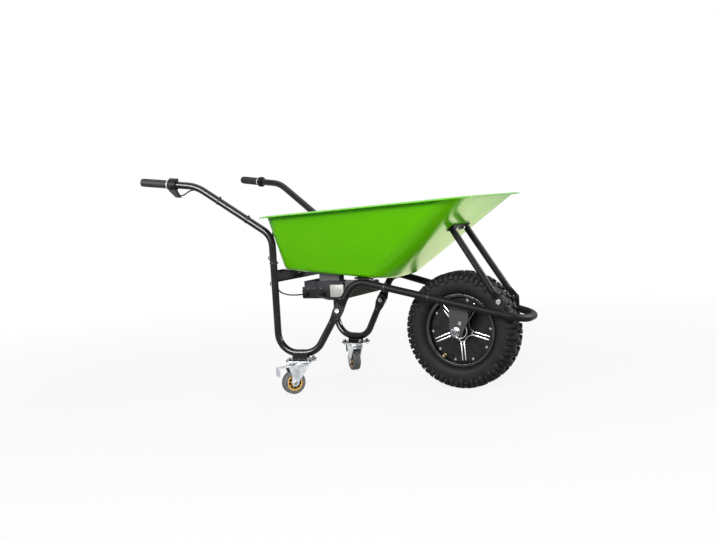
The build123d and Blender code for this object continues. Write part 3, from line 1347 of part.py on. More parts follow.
rear_end = pieces["throttle_grip"].bounding_box().min.X
front_end = pieces["front_loop_tube"].bounding_box().max.X
to_middle = Pos(-(rear_end + front_end) / 2, 0, 0)
os.makedirs("parts", exist_ok=True)
for name, shape in pieces.items():
    solids = shape if isinstance(shape, list) else [shape]
    placed = [to_middle * solid for solid in solids]
    export_step(placed[0] if len(placed) == 1 else Compound(children=placed), "parts/" + name + ".step")
print("axle stands at x", round(-(rear_end + front_end) / 2, 3), "after the move")
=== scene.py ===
import json
import math
import bmesh
import bpy
from mathutils import Matrix, Vector

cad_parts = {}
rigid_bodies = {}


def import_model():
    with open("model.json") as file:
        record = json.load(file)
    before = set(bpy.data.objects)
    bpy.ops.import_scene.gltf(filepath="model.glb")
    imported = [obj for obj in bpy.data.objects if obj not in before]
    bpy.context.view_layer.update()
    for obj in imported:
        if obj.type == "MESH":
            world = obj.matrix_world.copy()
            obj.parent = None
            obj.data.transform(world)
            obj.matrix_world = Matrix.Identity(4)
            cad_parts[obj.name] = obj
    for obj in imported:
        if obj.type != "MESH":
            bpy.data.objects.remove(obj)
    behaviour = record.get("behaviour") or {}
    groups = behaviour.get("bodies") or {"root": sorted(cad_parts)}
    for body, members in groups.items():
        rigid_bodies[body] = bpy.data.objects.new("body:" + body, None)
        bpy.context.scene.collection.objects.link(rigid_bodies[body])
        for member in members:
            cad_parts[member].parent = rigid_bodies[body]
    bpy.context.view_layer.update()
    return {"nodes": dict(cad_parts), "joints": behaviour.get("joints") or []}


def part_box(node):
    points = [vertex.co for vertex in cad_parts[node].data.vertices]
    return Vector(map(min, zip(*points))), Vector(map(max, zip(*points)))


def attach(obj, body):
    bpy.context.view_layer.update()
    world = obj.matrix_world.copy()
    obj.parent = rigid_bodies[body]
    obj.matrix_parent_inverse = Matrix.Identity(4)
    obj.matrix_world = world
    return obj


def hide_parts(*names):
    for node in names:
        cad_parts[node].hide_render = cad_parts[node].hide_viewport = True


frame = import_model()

nodes = frame["nodes"]
bpy.ops.object.select_all(action="DESELECT")


# Frame: bent steel tubes with welded cross bars, lugs and brackets, bolted up with lap joints.
# All of it is mild steel under black powder coat, which dries with a fine orange peel.
# Handles, legs and cross bars come out glossy, and the front loop and the tray's stays satin.
def add_node(tree, kind, settings):
    """A node with the named inputs set."""
    node = tree.nodes.new(kind)
    for socket, value in settings.items():
        node.inputs[socket].default_value = value
    return node


def add_noise(tree, size, detail):
    """Noise on the piece's own coordinates, with spots of about the given size in metres."""
    place = tree.nodes.new("ShaderNodeTexCoord")
    noise = add_node(tree, "ShaderNodeTexNoise", {"Scale": 1 / size, "Detail": detail})
    tree.links.new(place.outputs["Object"], noise.inputs["Vector"])
    return noise


def wander(tree, noise, reach, socket):
    """Leads the noise to a number socket, spread over a range."""
    spread = add_node(tree, "ShaderNodeMapRange", {"From Min": 0.3, "From Max": 0.7})
    spread.inputs["To Min"].default_value, spread.inputs["To Max"].default_value = reach
    tree.links.new(noise.outputs["Fac"], spread.inputs["Value"])
    tree.links.new(spread.outputs["Result"], socket)


def two_tone(tree, noise, shade, light, socket):
    """Leads the noise to a colour socket, between two colours."""
    ramp = tree.nodes.new("ShaderNodeValToRGB")
    for stop, place, colour in zip(ramp.color_ramp.elements, (0.32, 0.68), (shade, light)):
        stop.position = place
        stop.color = (*colour, 1)
    tree.links.new(noise.outputs["Fac"], ramp.inputs["Fac"])
    tree.links.new(ramp.outputs["Color"], socket)


def lift(tree, noise, height, edge, socket):
    """Raises the surface by the noise, and rounds its sharp edges for the light where an edge is given."""
    bump = add_node(tree, "ShaderNodeBump", {"Strength": 1.0, "Distance": height})
    tree.links.new(noise.outputs["Fac"], bump.inputs["Height"])
    if edge:
        rounded = add_node(tree, "ShaderNodeBevel", {"Radius": edge})
        tree.links.new(rounded.outputs["Normal"], bump.inputs["Normal"])
    tree.links.new(bump.outputs["Normal"], socket)


def main_shader(finish):
    """The shader that holds a finish's colour, gloss and grain."""
    return finish.node_tree.nodes["Principled BSDF"]


def plain_finish(name, shade, light, rough, patch, grain, bump, metal=0.0, edge=0.0, gloss=0.5):
    """A finish whose colour and roughness wander in patches, over a fine raised grain."""
    finish = bpy.data.materials.new(name)
    finish.use_nodes = True
    tree = finish.node_tree
    sockets = main_shader(finish).inputs
    patches = add_noise(tree, patch, detail=3.0)
    two_tone(tree, patches, shade, light, sockets["Base Color"])
    wander(tree, patches, rough, sockets["Roughness"])
    lift(tree, add_noise(tree, grain, detail=2.0), bump, edge, sockets["Normal"])
    sockets["Metallic"].default_value = metal
    sockets["Specular IOR Level"].default_value = gloss
    return finish


def dress(finish, *names):
    """Gives CAD nodes a finish."""
    for name in names:
        for holder in nodes[name].material_slots:
            holder.material = finish


sides = ("right", "left")
powder_gloss = plain_finish(
    "powder_black", shade=(0.0045, 0.0045, 0.005), light=(0.008, 0.008, 0.0085), rough=(0.16, 0.24),
    patch=0.05, grain=0.0016, bump=0.00002, edge=0.001, gloss=0.2)
powder_satin = plain_finish(
    "powder_satin", shade=(0.006, 0.006, 0.0065), light=(0.010, 0.010, 0.0105), rough=(0.45, 0.55),
    patch=0.05, grain=0.0016, bump=0.00002, edge=0.001, gloss=0.06)
for side in sides:
    dress(powder_gloss, side + "_handle_leg_tube", side + "_caster_mount")
    dress(powder_satin, side + "_tray_stay")
dress(powder_gloss, "front_cross_member", "rear_cross_member", "rear_tray_brackets")
dress(powder_satin, "front_loop_tube", "stay_lugs", "stay_top_bridge")


# Bolts, nuts and washers of the whole barrow: cold-headed steel with rolled threads, bright zinc plated.
# They clamp the tray, the stays, the lap joints, the axle, the caster plates, the throttle and the box.
zinc_bright = plain_finish(
    "zinc_bright", shade=(0.24, 0.25, 0.26), light=(0.38, 0.39, 0.41), rough=(0.12, 0.22),
    patch=0.006, grain=0.0009, bump=0.00005, metal=1.0, edge=0.0006)
dress(zinc_bright, "tray_bolts", "stay_bolts", "leg_joint_bolts", "caster_plate_bolts", "torque_bolts")
dress(zinc_bright, "axle_nuts", "throttle_clamp_screws", "box_screws")


# Tray: one sheet of steel pressed to a deep pan, its edge turned out to a lip and rolled under.
# It is sprayed with a bright green enamel that keeps a soft gloss and a slight orange peel,
# and it is bolted to the cross bars and brackets of the frame.
tray_low, tray_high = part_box("tray")
sheet = 0.0015
lip_width = 0.0217
lip_rise = 0.0005
lip_drop = 0.0034
lip_roll = 0.0030
roll_steps = 9
roll_step_turn = math.radians(28)
floor_rear = tray_low.x + 0.0257
floor_front = tray_low.x + 0.417
floor_rear_half = 0.177
floor_front_half = 0.141
floor_rear_z = 0.4287
floor_front_z = 0.3847
floor_rear_corner = 0.026
floor_front_corner = 0.098
floor_bend = 0.020
floor_bend_steps = 6
rim_rear_z = 0.619
rim_front_z = 0.653
rim_rear_half = tray_high.y
rim_front_half = 0.297
rim_rear_corner = 0.050
rim_front_corner = 0.096
mouth_rear_corner = 0.050
mouth_bend_below = 0.006
mouth_bend_out = 0.005
mouth_bend_steps = 4
corner_steps = 14
merge_gap = 0.00005


def rounded_corner(before, corner, after, radius):
    """Points of the arc that rounds one corner of an outline."""
    back = (before - corner).normalized()
    ahead = (after - corner).normalized()
    half = back.angle(ahead) / 2
    centre = corner + (back + ahead).normalized() * radius / math.sin(half)
    first = corner + back * radius / math.tan(half) - centre
    turn = math.pi - 2 * half
    arc = []
    for step in range(corner_steps + 1):
        arc.append(centre + Matrix.Rotation(turn * step / corner_steps, 2) @ first)
    return arc


def tray_outline(rear, front, rear_half, front_half, rear_corner, front_corner):
    """A tray level seen from above, from the right rear corner round by the front."""
    corners = [Vector((rear, -rear_half)), Vector((front, -front_half)),
               Vector((front, front_half)), Vector((rear, rear_half))]
    radii = (rear_corner, front_corner, front_corner, rear_corner)
    outline = []
    for index, corner in enumerate(corners):
        outline += rounded_corner(corners[index - 1], corner, corners[(index + 1) % 4], radii[index])
    return outline


def sloped(level, rear, front, rear_z, front_z):
    """A level's points, lifted to the plane that slopes from a rear line to a front line."""
    slope = (front_z - rear_z) / (front - rear)
    return [Vector((point.x, point.y, rear_z + slope * (point.x - rear))) for point in level]


def floor_level(inset):
    """A ring of the floor, drawn in from its sharp edge."""
    level = tray_outline(
        floor_rear + inset, floor_front - inset, floor_rear_half - inset, floor_front_half - inset,
        floor_rear_corner - inset, floor_front_corner - inset)
    return sloped(level, floor_rear, floor_front, floor_rear_z, floor_front_z)


def rim_level(inset, up, rear_corner):
    """A ring of the rim, drawn in from the tray's outer edge and moved up."""
    level = tray_outline(
        tray_low.x + inset, tray_high.x - inset, rim_rear_half - inset, rim_front_half - inset,
        rear_corner, rim_front_corner - inset)
    return sloped(level, tray_low.x, tray_high.x, rim_rear_z + up, rim_front_z + up)


def bend(start, corner, end, steps):
    """Rings that round the bend from one ring to another, past the ring at the sharp corner."""
    rings = []
    for step in range(1, steps + 1):
        share = step / steps
        rings.append([first.lerp(middle, share).lerp(middle.lerp(last, share), share)
                      for first, middle, last in zip(start, corner, end)])
    return rings


def towards(ring, target, distance):
    """A ring moved towards another by a distance."""
    return [place + (goal - place).normalized() * distance for place, goal in zip(ring, target)]


def add_outline(points, fill="NGON"):
    """Starts a piece, or adds to the one in hand, with a loop of corners put in their places."""
    bpy.ops.mesh.primitive_circle_add(vertices=len(points), radius=1, fill_type=fill)
    bpy.ops.object.mode_set(mode="EDIT")
    shape = bmesh.from_edit_mesh(bpy.context.object.data)
    corners = [vert for vert in shape.verts if vert.select]
    for vert, place in zip(corners, points):
        vert.co = place
    bmesh.update_edit_mesh(bpy.context.object.data)


def grow_rings(first, rings):
    """Extrudes the selected open edge from ring to ring, and puts each new corner in its place."""
    last = first
    for ring in rings:
        bpy.ops.mesh.extrude_edges_indiv()
        shape = bmesh.from_edit_mesh(bpy.context.object.data)
        moved = {vert: min(range(len(last)), key=lambda index: (last[index] - vert.co).length_squared)
                 for vert in shape.verts if vert.select}
        for vert, index in moved.items():
            vert.co = ring[index]
        bmesh.update_edit_mesh(bpy.context.object.data)
        last = ring


def face_outwards():
    """Turns all faces of the piece in hand out."""
    bpy.ops.mesh.select_all(action="SELECT")
    bpy.ops.mesh.normals_make_consistent(inside=False)


def close_skin():
    """Merges the mesh where its ends meet and turns its faces out."""
    bpy.ops.mesh.select_all(action="SELECT")
    bpy.ops.mesh.remove_doubles(threshold=merge_gap)
    face_outwards()


def finish_piece(name, smooth_angle):
    """Names the piece in hand, shades it smooth up to an angle in degrees and lets it go."""
    piece = bpy.context.object
    piece.name = name
    piece.data.name = name
    bpy.ops.object.mode_set(mode="OBJECT")
    bpy.ops.object.shade_smooth_by_angle(angle=math.radians(smooth_angle))
    bpy.ops.object.select_all(action="DESELECT")
    return piece


def paint_shade_in_hollows(finish, shade_colour, reach, low, high):
    """Paints shade into a finish: its colour turns to a darker one in hollows and under overhangs, where
    ambient occlusion finds them.
    """
    tree = finish.node_tree
    base = main_shader(finish).inputs["Base Color"]
    open_tone = base.links[0].from_socket
    openness = add_node(tree, "ShaderNodeAmbientOcclusion", {"Distance": reach})
    openness.only_local = True
    spread = add_node(tree, "ShaderNodeMapRange", {"From Min": low, "From Max": high})
    blend = tree.nodes.new("ShaderNodeMix")
    blend.data_type = "RGBA"
    painted_shade_input, open_colour, blended = blend.inputs[6], blend.inputs[7], blend.outputs[2]
    painted_shade_input.default_value = (*shade_colour, 1)
    tree.links.new(openness.outputs["AO"], spread.inputs["Value"])
    tree.links.new(spread.outputs["Result"], blend.inputs["Factor"])
    tree.links.new(open_tone, open_colour)
    tree.links.new(blended, base)


floor_edge = floor_level(0)
floor_flat = floor_level(floor_bend)
mouth = rim_level(lip_width, lip_rise, mouth_rear_corner)
lip_outside = rim_level(lip_roll, -lip_drop, rim_rear_corner - lip_roll)
tray_rings = bend(floor_flat, floor_edge, towards(floor_edge, mouth, floor_bend), floor_bend_steps)
tray_rings.append(towards(mouth, floor_edge, mouth_bend_below))
tray_rings += bend(tray_rings[-1], mouth, towards(mouth, lip_outside, mouth_bend_out), mouth_bend_steps)
tray_rings.append(lip_outside)
roll_inside = lip_roll - sheet
for step in range(1, roll_steps + 1):
    turn = roll_step_turn * step
    drop = lip_drop + roll_inside * (1 - math.cos(turn))
    inset = lip_roll - roll_inside * math.sin(turn)
    tray_rings.append(rim_level(inset, -drop, rim_rear_corner - inset))

add_outline(floor_flat)
bpy.ops.mesh.region_to_loop()
grow_rings(floor_flat, tray_rings)
close_skin()
tray = finish_piece("tray_pan", 35)
wall = tray.modifiers.new("sheet", "SOLIDIFY")
wall.thickness = sheet
wall.offset = -1
wall.use_even_offset = True
bpy.context.view_layer.objects.active = tray
bpy.ops.object.modifier_apply(modifier=wall.name)
enamel_green = plain_finish(
    "enamel_green", shade=(0.096, 0.425, 0.0012), light=(0.108, 0.448, 0.0016), rough=(0.2, 0.26),
    patch=0.12, grain=0.004, bump=0.00002, gloss=0.12)
main_shader(enamel_green).inputs["Specular Tint"].default_value = (0.4, 1.0, 0.1, 1)
# Painted shade: the green turns deep and dark under the rolled lip and in the pan's inner corners.
paint_shade_in_hollows(enamel_green, shade_colour=(0.001, 0.19, 0.010), reach=0.060, low=0.76, high=0.98)
tray.data.materials.append(enamel_green)
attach(tray, "frame")
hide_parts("tray")


# Tyre: a moulded rubber tyre with block lugs, blown up on the rim of the drive wheel.
# The rubber is matt black, greyer where dust lies on it, with two moulded rings near each bead.
tyre_low, tyre_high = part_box("drive_tyre")
hub = (tyre_low + tyre_high) / 2
wheel_axis = (0, 1, 0)
wheel_steps = 120
tread_top = tyre_high.z - hub.z
tyre_half = tyre_high.y
lug_height = 0.008
lug_stand = 0.0025
casing_middle = 0.157
casing_rise = tread_top - casing_middle - lug_height
casing_half = tyre_half - lug_stand
casing_wall = 0.006
casing_square = 0.67
casing_steps = 40
bead_turn = math.radians(60)
bead_ring_radii = (0.1335, 0.1385)
bead_ring_out = 0.0400
bead_ring_wide = Vector((0, 0.0024, 0))
bead_ring_high = Vector((0, 0, 0.0014))
bead_ring_corners = 6
pitches = 30
pitch_turn = 2 * math.pi / pitches
lug_width = 0.0148
lug_rounding = 0.0014
lug_top = ((tread_top - 0.001, 0.027), (tread_top - 0.0045, 0.038), (0.188, 0.0462), (0.178, tyre_half))
long_foot = ((0.164, tyre_half), (0.158, 0.0465), (0.165, 0.044), (0.183, 0.036), (0.189, 0.027))
short_foot = ((0.176, tyre_half), (0.171, 0.0465), (0.176, 0.0415), (0.183, 0.036), (0.189, 0.027))
block_plan = (
    (-0.009, 0.0025), (0.009, 0.0025), (0.0135, 0.013), (0.008, 0.0235), (-0.008, 0.0235), (-0.0135, 0.013))
block_foot = 0.187
block_below_top = 0.0006
block_taper = 0.9
block_rounding = 0.0016


def wheel_ways(turn):
    """The ways outward and ahead at a turn of the wheel, which is counted from its top."""
    return Vector((math.sin(turn), 0, math.cos(turn))), Vector((math.cos(turn), 0, -math.sin(turn)))


def on_wheel(turn, radius, along, y):
    """A place on the wheel: its turn from the top, its radius, a step along the tread and its side."""
    outward, ahead = wheel_ways(turn)
    return Vector((hub.x, y, hub.z)) + outward * radius + ahead * along


def squared(number):
    """A sine or cosine drawn out towards its ends, which makes an oblong of a circle."""
    return math.copysign(abs(number) ** casing_square, number)


def casing_curve(inset):
    """The casing's section from one bead to the other, a rounded oblong open towards the hub."""
    curve = []
    for step in range(casing_steps + 1):
        turn = -bead_turn + (math.pi + 2 * bead_turn) * step / casing_steps
        radius = casing_middle + (casing_rise - inset) * squared(math.sin(turn))
        curve.append(on_wheel(0, radius, 0, (casing_half - inset) * squared(math.cos(turn))))
    return curve


def oval(middle, first, second, steps):
    """Points round an oval section, from its middle and its two half axes."""
    points = []
    for step in range(steps):
        turn = 2 * math.pi * step / steps
        points.append(middle + first * math.cos(turn) + second * math.sin(turn))
    return points


def spin_outline(points, steps, turn=2 * math.pi, centre=hub, axis=wheel_axis):
    """Adds a closed section and turns it round an axle line to a skin."""
    add_outline(points, "NOTHING")
    bpy.ops.mesh.spin(steps=steps, angle=-turn, center=centre, axis=axis)


def spin_copies(count, centre=hub, axis=wheel_axis):
    """Repeats the part of the mesh that is selected evenly round an axle line."""
    bpy.ops.mesh.select_linked()
    turn = 2 * math.pi * (count - 1) / count
    bpy.ops.mesh.spin(steps=count - 1, dupli=True, angle=-turn, center=centre, axis=axis)


def round_edges(width):
    """Rounds every edge of the part of the mesh that was drawn last."""
    bpy.ops.mesh.select_linked()
    bpy.ops.mesh.bevel(offset=width, segments=2, affect="EDGES")


def push(step):
    """Pulls the selected face out into a block."""
    bpy.ops.mesh.extrude_region_move(TRANSFORM_OT_translate={"value": step})


spin_outline(casing_curve(0) + casing_curve(casing_wall)[::-1], wheel_steps)
close_skin()
for side in (-1, 1):
    for radius in bead_ring_radii:
        middle = on_wheel(0, radius, 0, side * bead_ring_out)
        spin_outline(oval(middle, side * bead_ring_wide, bead_ring_high, bead_ring_corners), wheel_steps)
close_skin()
for side in (-1, 1):
    lead = 0 if side < 0 else pitch_turn / 4
    for foot, turn in ((long_foot, lead), (short_foot, lead + pitch_turn / 2)):
        ahead = wheel_ways(turn)[1]
        add_outline([on_wheel(turn, radius, -lug_width / 2, side * y) for radius, y in lug_top + foot])
        push(ahead * lug_width)
        round_edges(lug_rounding)
        spin_copies(pitches)
    turn = lead + pitch_turn / 4
    outward = wheel_ways(turn)[0]
    add_outline([on_wheel(turn, block_foot, along, side * y) for along, y in block_plan])
    push(outward * (tread_top - block_below_top - block_foot))
    bpy.ops.transform.resize(value=(block_taper, block_taper, block_taper))
    round_edges(block_rounding)
    spin_copies(pitches)
face_outwards()
tyre = finish_piece("tyre_casing", 40)
rubber_black = plain_finish(
    "rubber_black", shade=(0.008, 0.008, 0.0082), light=(0.015, 0.015, 0.0153), rough=(0.5, 0.66),
    patch=0.02, grain=0.0012, bump=0.0001, gloss=0.06)
tyre.data.materials.append(rubber_black)
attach(tyre, "drive_wheel")
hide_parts("drive_tyre")


# Wheel rim: a pressed steel drum with rolled flanges under gloss black paint, bolted round the motor.
# The valve stem that stands in it is turned from brass.
paint_gloss = plain_finish(
    "paint_gloss", shade=(0.006, 0.006, 0.006), light=(0.010, 0.010, 0.010), rough=(0.2, 0.3),
    patch=0.03, grain=0.0016, bump=0.00002, edge=0.0012, gloss=0.4)
brass = plain_finish(
    "brass", shade=(0.17, 0.13, 0.055), light=(0.32, 0.26, 0.12), rough=(0.22, 0.4),
    patch=0.004, grain=0.0008, bump=0.00004, metal=1.0, edge=0.0004)
dress(paint_gloss, "wheel_rim")
dress(brass, "valve_stem")


# Motor covers: cast alloy discs with a raised boss, painted black, screwed on to close the motor.
# Five double spokes and the curves between them are left bare and bright, and so is the boss's edge.
cover_low, cover_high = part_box("left_motor_cover")
cover_radius = (cover_high.z - cover_low.z) / 2
cover_bore = 0.0105
cover_back = cover_low.y
cover_face = cover_back + 0.005
boss_out = cover_high.y
cover_profile = (
    (cover_bore, boss_out), (0.0255, boss_out), (0.028, boss_out - 0.0025), (0.0292, cover_face + 0.002),
    (0.031, cover_face), (0.062, cover_face - 0.0006), (0.095, cover_face),
    (cover_radius - 0.002, cover_face), (cover_radius, cover_face - 0.002),
    (cover_radius, cover_back), (cover_bore, cover_back))
spokes = 5
spoke_turn = 2 * math.pi / spokes
star_turn = math.radians(177)
bar_inner = 0.044
bar_outer = 0.1035
bar_offset = 0.0055
bar_half = 0.0018
bar_foot_half = bar_half * 1.1
bar_rise = 0.0030
bar_sink = 0.001
bar_rounding = 0.0006
curve_half = 0.0011
curve_rise = bar_rise * 0.6
curve_steps = 12
web_centre = 0.062
web_radius = web_centre * math.sin(spoke_turn / 2) - bar_offset
web_turn = math.pi - spoke_turn
boss_ring_radius = 0.0258
boss_ring_in = 0.0010
boss_ring_wide = Vector((0, 0.0020, 0))
boss_ring_high = Vector((0, 0, 0.0028))
boss_ring_corners = 8
boss_ring_steps = 96
cover_cast = plain_finish(
    "cover_cast", shade=(0.004, 0.004, 0.004), light=(0.007, 0.007, 0.0073), rough=(0.35, 0.5),
    patch=0.02, grain=0.0009, bump=0.00004, gloss=0.08)
alloy_bright = plain_finish(
    "alloy_bright", shade=(0.42, 0.43, 0.44), light=(0.55, 0.55, 0.56), rough=(0.26, 0.38),
    patch=0.004, grain=0.0006, bump=0.00003, metal=1.0, edge=0.0004)


def spoke_bar(side, across):
    """One bright bar of the spoke that points down, a little wider at its foot."""
    corners = ((bar_inner, -bar_half), (bar_inner, bar_half),
               (bar_outer, bar_foot_half), (bar_outer, -bar_foot_half))
    depth = side * (cover_face - bar_sink)
    add_outline([on_wheel(star_turn, radius, across + along, depth) for radius, along in corners])
    push((0, side * (bar_rise + bar_sink), 0))
    round_edges(bar_rounding)


def curve_bar(side, centre, start, turn, radius):
    """A thin bright curve on the cover, turned round its own centre."""
    middle = Vector((centre.x, side * cover_face, centre.z))
    outward = wheel_ways(start)[0]
    inner, outer = radius - curve_half, radius + curve_half
    section = []
    for reach, rise in ((inner, -bar_sink), (inner, curve_rise), (outer, curve_rise), (outer, -bar_sink)):
        section.append(middle + outward * reach + Vector((0, side * rise, 0)))
    spin_outline(section, curve_steps, turn, middle)


for name, side in (("right", -1), ("left", 1)):
    spin_outline([on_wheel(0, radius, 0, side * y) for radius, y in cover_profile], wheel_steps)
    close_skin()
    cover = finish_piece(name + "_cover_disc", 25)
    cover.data.materials.append(cover_cast)
    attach(cover, "drive_wheel")
    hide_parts(name + "_motor_cover")

    for across in (bar_offset, -bar_offset):
        spoke_bar(side, across)
        spin_copies(spokes)
    web = star_turn + spoke_turn / 2
    curve_bar(side, on_wheel(web, web_centre, 0, 0), web + math.pi - web_turn / 2, web_turn, web_radius)
    spin_copies(spokes)
    curve_bar(side, on_wheel(star_turn, bar_inner, 0, 0), star_turn + math.pi / 2, math.pi, bar_offset)
    spin_copies(spokes)
    middle = on_wheel(0, boss_ring_radius, 0, side * (boss_out - boss_ring_in))
    section = oval(middle, side * boss_ring_wide, boss_ring_high, boss_ring_corners)
    spin_outline(section, boss_ring_steps)
    close_skin()
    star = finish_piece(name + "_cover_star", 30)
    star.data.materials.append(alloy_bright)
    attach(star, "drive_wheel")


# Motor and its hold: a turned steel axle with flats, ball bearings, an iron stator and a ring of magnets.
# Only the ends of the axle show. Steel dropout plates under satin black paint carry it,
# and small blackened steel screws hold the covers.
steel_dark = plain_finish(
    "steel_dark", shade=(0.03, 0.03, 0.032), light=(0.07, 0.07, 0.074), rough=(0.35, 0.5),
    patch=0.006, grain=0.0008, bump=0.00004, metal=1.0, edge=0.0005)
screw_grey = plain_finish(
    "screw_grey", shade=(0.10, 0.10, 0.105), light=(0.17, 0.17, 0.175), rough=(0.3, 0.45),
    patch=0.004, grain=0.0006, bump=0.00003, metal=1.0, edge=0.0006)
# Painted light: the plates' satin black is lightened to a dark grey, for their faces that catch the light.
satin_black_and_painted_light = plain_finish(
    "satin_black_and_painted_light", shade=(0.034, 0.034, 0.035), light=(0.044, 0.044, 0.045), rough=(0.5, 0.6),
    patch=0.04, grain=0.0012, bump=0.00005, edge=0.0006, gloss=0.1)
dress(steel_dark, "motor_axle", "wheel_bearings", "motor_stator", "magnet_ring")
dress(screw_grey, "motor_cover_screws")
dress(satin_black_and_painted_light, "right_dropout_plate", "left_dropout_plate")


# Casters: a pressed steel fork and top plate, zinc plated, that swivel under each leg with a brake pedal.
# The wheel is a moulded golden nylon centre, ribbed between hub and rim, under a tread of grey rubber.
joints = {joint["name"]: joint for joint in frame["joints"]}
upward = Vector((0, 0, 1))
core_side = (
    (0.0045, 0.0146), (0.0100, 0.0146), (0.0130, 0.0128), (0.0136, 0.0120), (0.0136, 0.0035),
    (0.0232, 0.0035), (0.0232, 0.0110), (0.0242, 0.0122), (0.0276, 0.0122), (0.0287, 0.0112))
core_steps = 64
core_ribs = 9
rib_inner = 0.0130
rib_outer = 0.0238
rib_half = 0.0012
rib_reach = 0.0085
rib_plan = ((rib_inner, -rib_half), (rib_outer, -rib_half), (rib_outer, rib_half), (rib_inner, rib_half))
zinc_sheet = plain_finish(
    "zinc_sheet", shade=(0.38, 0.40, 0.42), light=(0.56, 0.58, 0.61), rough=(0.3, 0.42),
    patch=0.018, grain=0.0012, bump=0.00004, metal=1.0, edge=0.0008)
rubber_grey = plain_finish(
    "rubber_grey", shade=(0.085, 0.085, 0.09), light=(0.13, 0.13, 0.138), rough=(0.5, 0.65),
    patch=0.012, grain=0.001, bump=0.00008, edge=0.001, gloss=0.2)
nylon_gold = plain_finish(
    "nylon_gold", shade=(0.56, 0.29, 0.040), light=(0.76, 0.45, 0.085), rough=(0.32, 0.45),
    patch=0.008, grain=0.0008, bump=0.00004, edge=0.0005)
# Painted shade: the gold turns dark brown in the hollows between the ribs.
paint_shade_in_hollows(nylon_gold, shade_colour=(0.020, 0.008, 0.003), reach=0.012, low=0.45, high=0.85)
for side in sides:
    middle = Vector(joints[side + "_caster_roll"]["pos_m"])
    across = Vector(joints[side + "_caster_roll"]["axis"]).normalized()
    ahead = across.cross(upward)
    section = [middle + upward * radius + across * out for radius, out in core_side]
    section += [middle + upward * radius - across * out for radius, out in reversed(core_side)]
    spin_outline(section, core_steps, centre=middle, axis=across)
    close_skin()
    foot = middle - across * rib_reach
    add_outline([foot + upward * radius + ahead * along for radius, along in rib_plan])
    push(across * rib_reach * 2)
    spin_copies(core_ribs, middle, across)
    face_outwards()
    core = finish_piece(side + "_caster_centre", 30)
    core.data.materials.append(nylon_gold)
    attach(core, side + "_caster_wheel")
    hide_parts(side + "_caster_core")
    dress(rubber_grey, side + "_caster_tread")
    dress(zinc_sheet, side + "_caster_fork", side + "_caster_plate", side + "_brake_pedal")
    dress(zinc_bright, side + "_caster_axle")


# Battery box: a moulded tub and lid of black plastic that hang under the tray's floor on two brackets.
# The brackets are black painted sheet steel, with a painted grey-purple sheen in their colour. A wrapped
# battery pack and a cast controller lie inside.
# Cable glands stand in the right face, a blank pale plate is riveted there, and screws hold the lid.
box_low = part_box("battery_box")[0]
lid_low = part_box("battery_box_lid")[0]
plate_rear = box_low.x + 0.1205
plate_low = box_low.z + 0.005
plate_y = box_low.y
plate_wide = 0.053
plate_tall = 0.043
plate_thick = 0.0012
plate_cut = 0.012
plate_cut_tall = plate_cut * 1.5
plate_rounding = 0.0004
plate_plan = (
    (0, 0), (plate_wide - plate_cut, 0), (plate_wide, plate_cut_tall),
    (plate_wide, plate_tall), (0, plate_tall))
rivet_columns = (0.005, plate_wide - plate_cut - 0.003)
rivet_rows = (0.006, 0.027)
rivet_head = ((0.0004, 0.0012), (0.0012, 0.0010), (0.0020, 0.0003), (0.0022, -0.0006), (0.0004, -0.0006))
rivet_steps = 16
screw_columns = (0.027, 0.053, 0.080)
screw_up = 0.003
screw_head = ((0.0006, 0.0016), (0.0020, 0.0014), (0.0030, 0.0006), (0.0032, -0.0008), (0.0006, -0.0008))
screw_steps = 24
plastic_black = plain_finish(
    "plastic_black", shade=(0.006, 0.006, 0.0064), light=(0.011, 0.011, 0.0116), rough=(0.42, 0.56),
    patch=0.02, grain=0.0008, bump=0.00005, edge=0.001, gloss=0.08)
# Painted sheen: the lid's black plastic is tinted blue, for the bluish sheen on it.
lid_black_and_painted_sheen = plain_finish(
    "lid_black_and_painted_sheen", shade=(0.008, 0.009, 0.014), light=(0.013, 0.014, 0.021), rough=(0.35, 0.5),
    patch=0.03, grain=0.0008, bump=0.00004, edge=0.001, gloss=0.15)
# Painted sheen: the brackets' black paint is lightened to grey-purple, for the sheen on it.
bracket_black_and_painted_sheen = plain_finish(
    "bracket_black_and_painted_sheen", shade=(0.050, 0.042, 0.056), light=(0.068, 0.058, 0.074), rough=(0.4, 0.55),
    patch=0.02, grain=0.001, bump=0.00005, edge=0.0006)
alloy_matt = plain_finish(
    "alloy_matt", shade=(0.42, 0.43, 0.44), light=(0.55, 0.56, 0.57), rough=(0.4, 0.55),
    patch=0.01, grain=0.0008, bump=0.00004, metal=1.0)
wrap_blue = plain_finish(
    "wrap_blue", shade=(0.015, 0.05, 0.16), light=(0.025, 0.075, 0.22), rough=(0.25, 0.4),
    patch=0.03, grain=0.0015, bump=0.00005)
sheet_pale = plain_finish(
    "sheet_pale", shade=(0.31, 0.31, 0.28), light=(0.39, 0.39, 0.36), rough=(0.4, 0.55),
    patch=0.008, grain=0.0008, bump=0.00003)
dress(plastic_black, "battery_box", "cable_glands")
dress(lid_black_and_painted_sheen, "battery_box_lid")
dress(bracket_black_and_painted_sheen, "box_hangers")
dress(alloy_matt, "motor_controller")
dress(wrap_blue, "battery_pack")


def round_head(seat, profile, steps):
    """A round head on the right face, from its profile of radius and rise."""
    spin_outline([seat + Vector((radius, -rise, 0)) for radius, rise in profile], steps, centre=seat)


add_outline([Vector((plate_rear + x, plate_y, plate_low + z)) for x, z in plate_plan])
push((0, -plate_thick, 0))
round_edges(plate_rounding)
for x in rivet_columns:
    for z in rivet_rows:
        seat = Vector((plate_rear + x, plate_y - plate_thick, plate_low + z))
        round_head(seat, rivet_head, rivet_steps)
close_skin()
plate = finish_piece("box_blank_plate", 30)
plate.data.materials.append(sheet_pale)
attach(plate, "frame")

for number, x in enumerate(screw_columns):
    seat = Vector((lid_low.x + x, lid_low.y, lid_low.z + screw_up))
    round_head(seat, screw_head, screw_steps)
    close_skin()
    screw = finish_piece("lid_side_screw_%d" % (number + 1), 30)
    screw.data.materials.append(steel_dark)
    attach(screw, "frame")


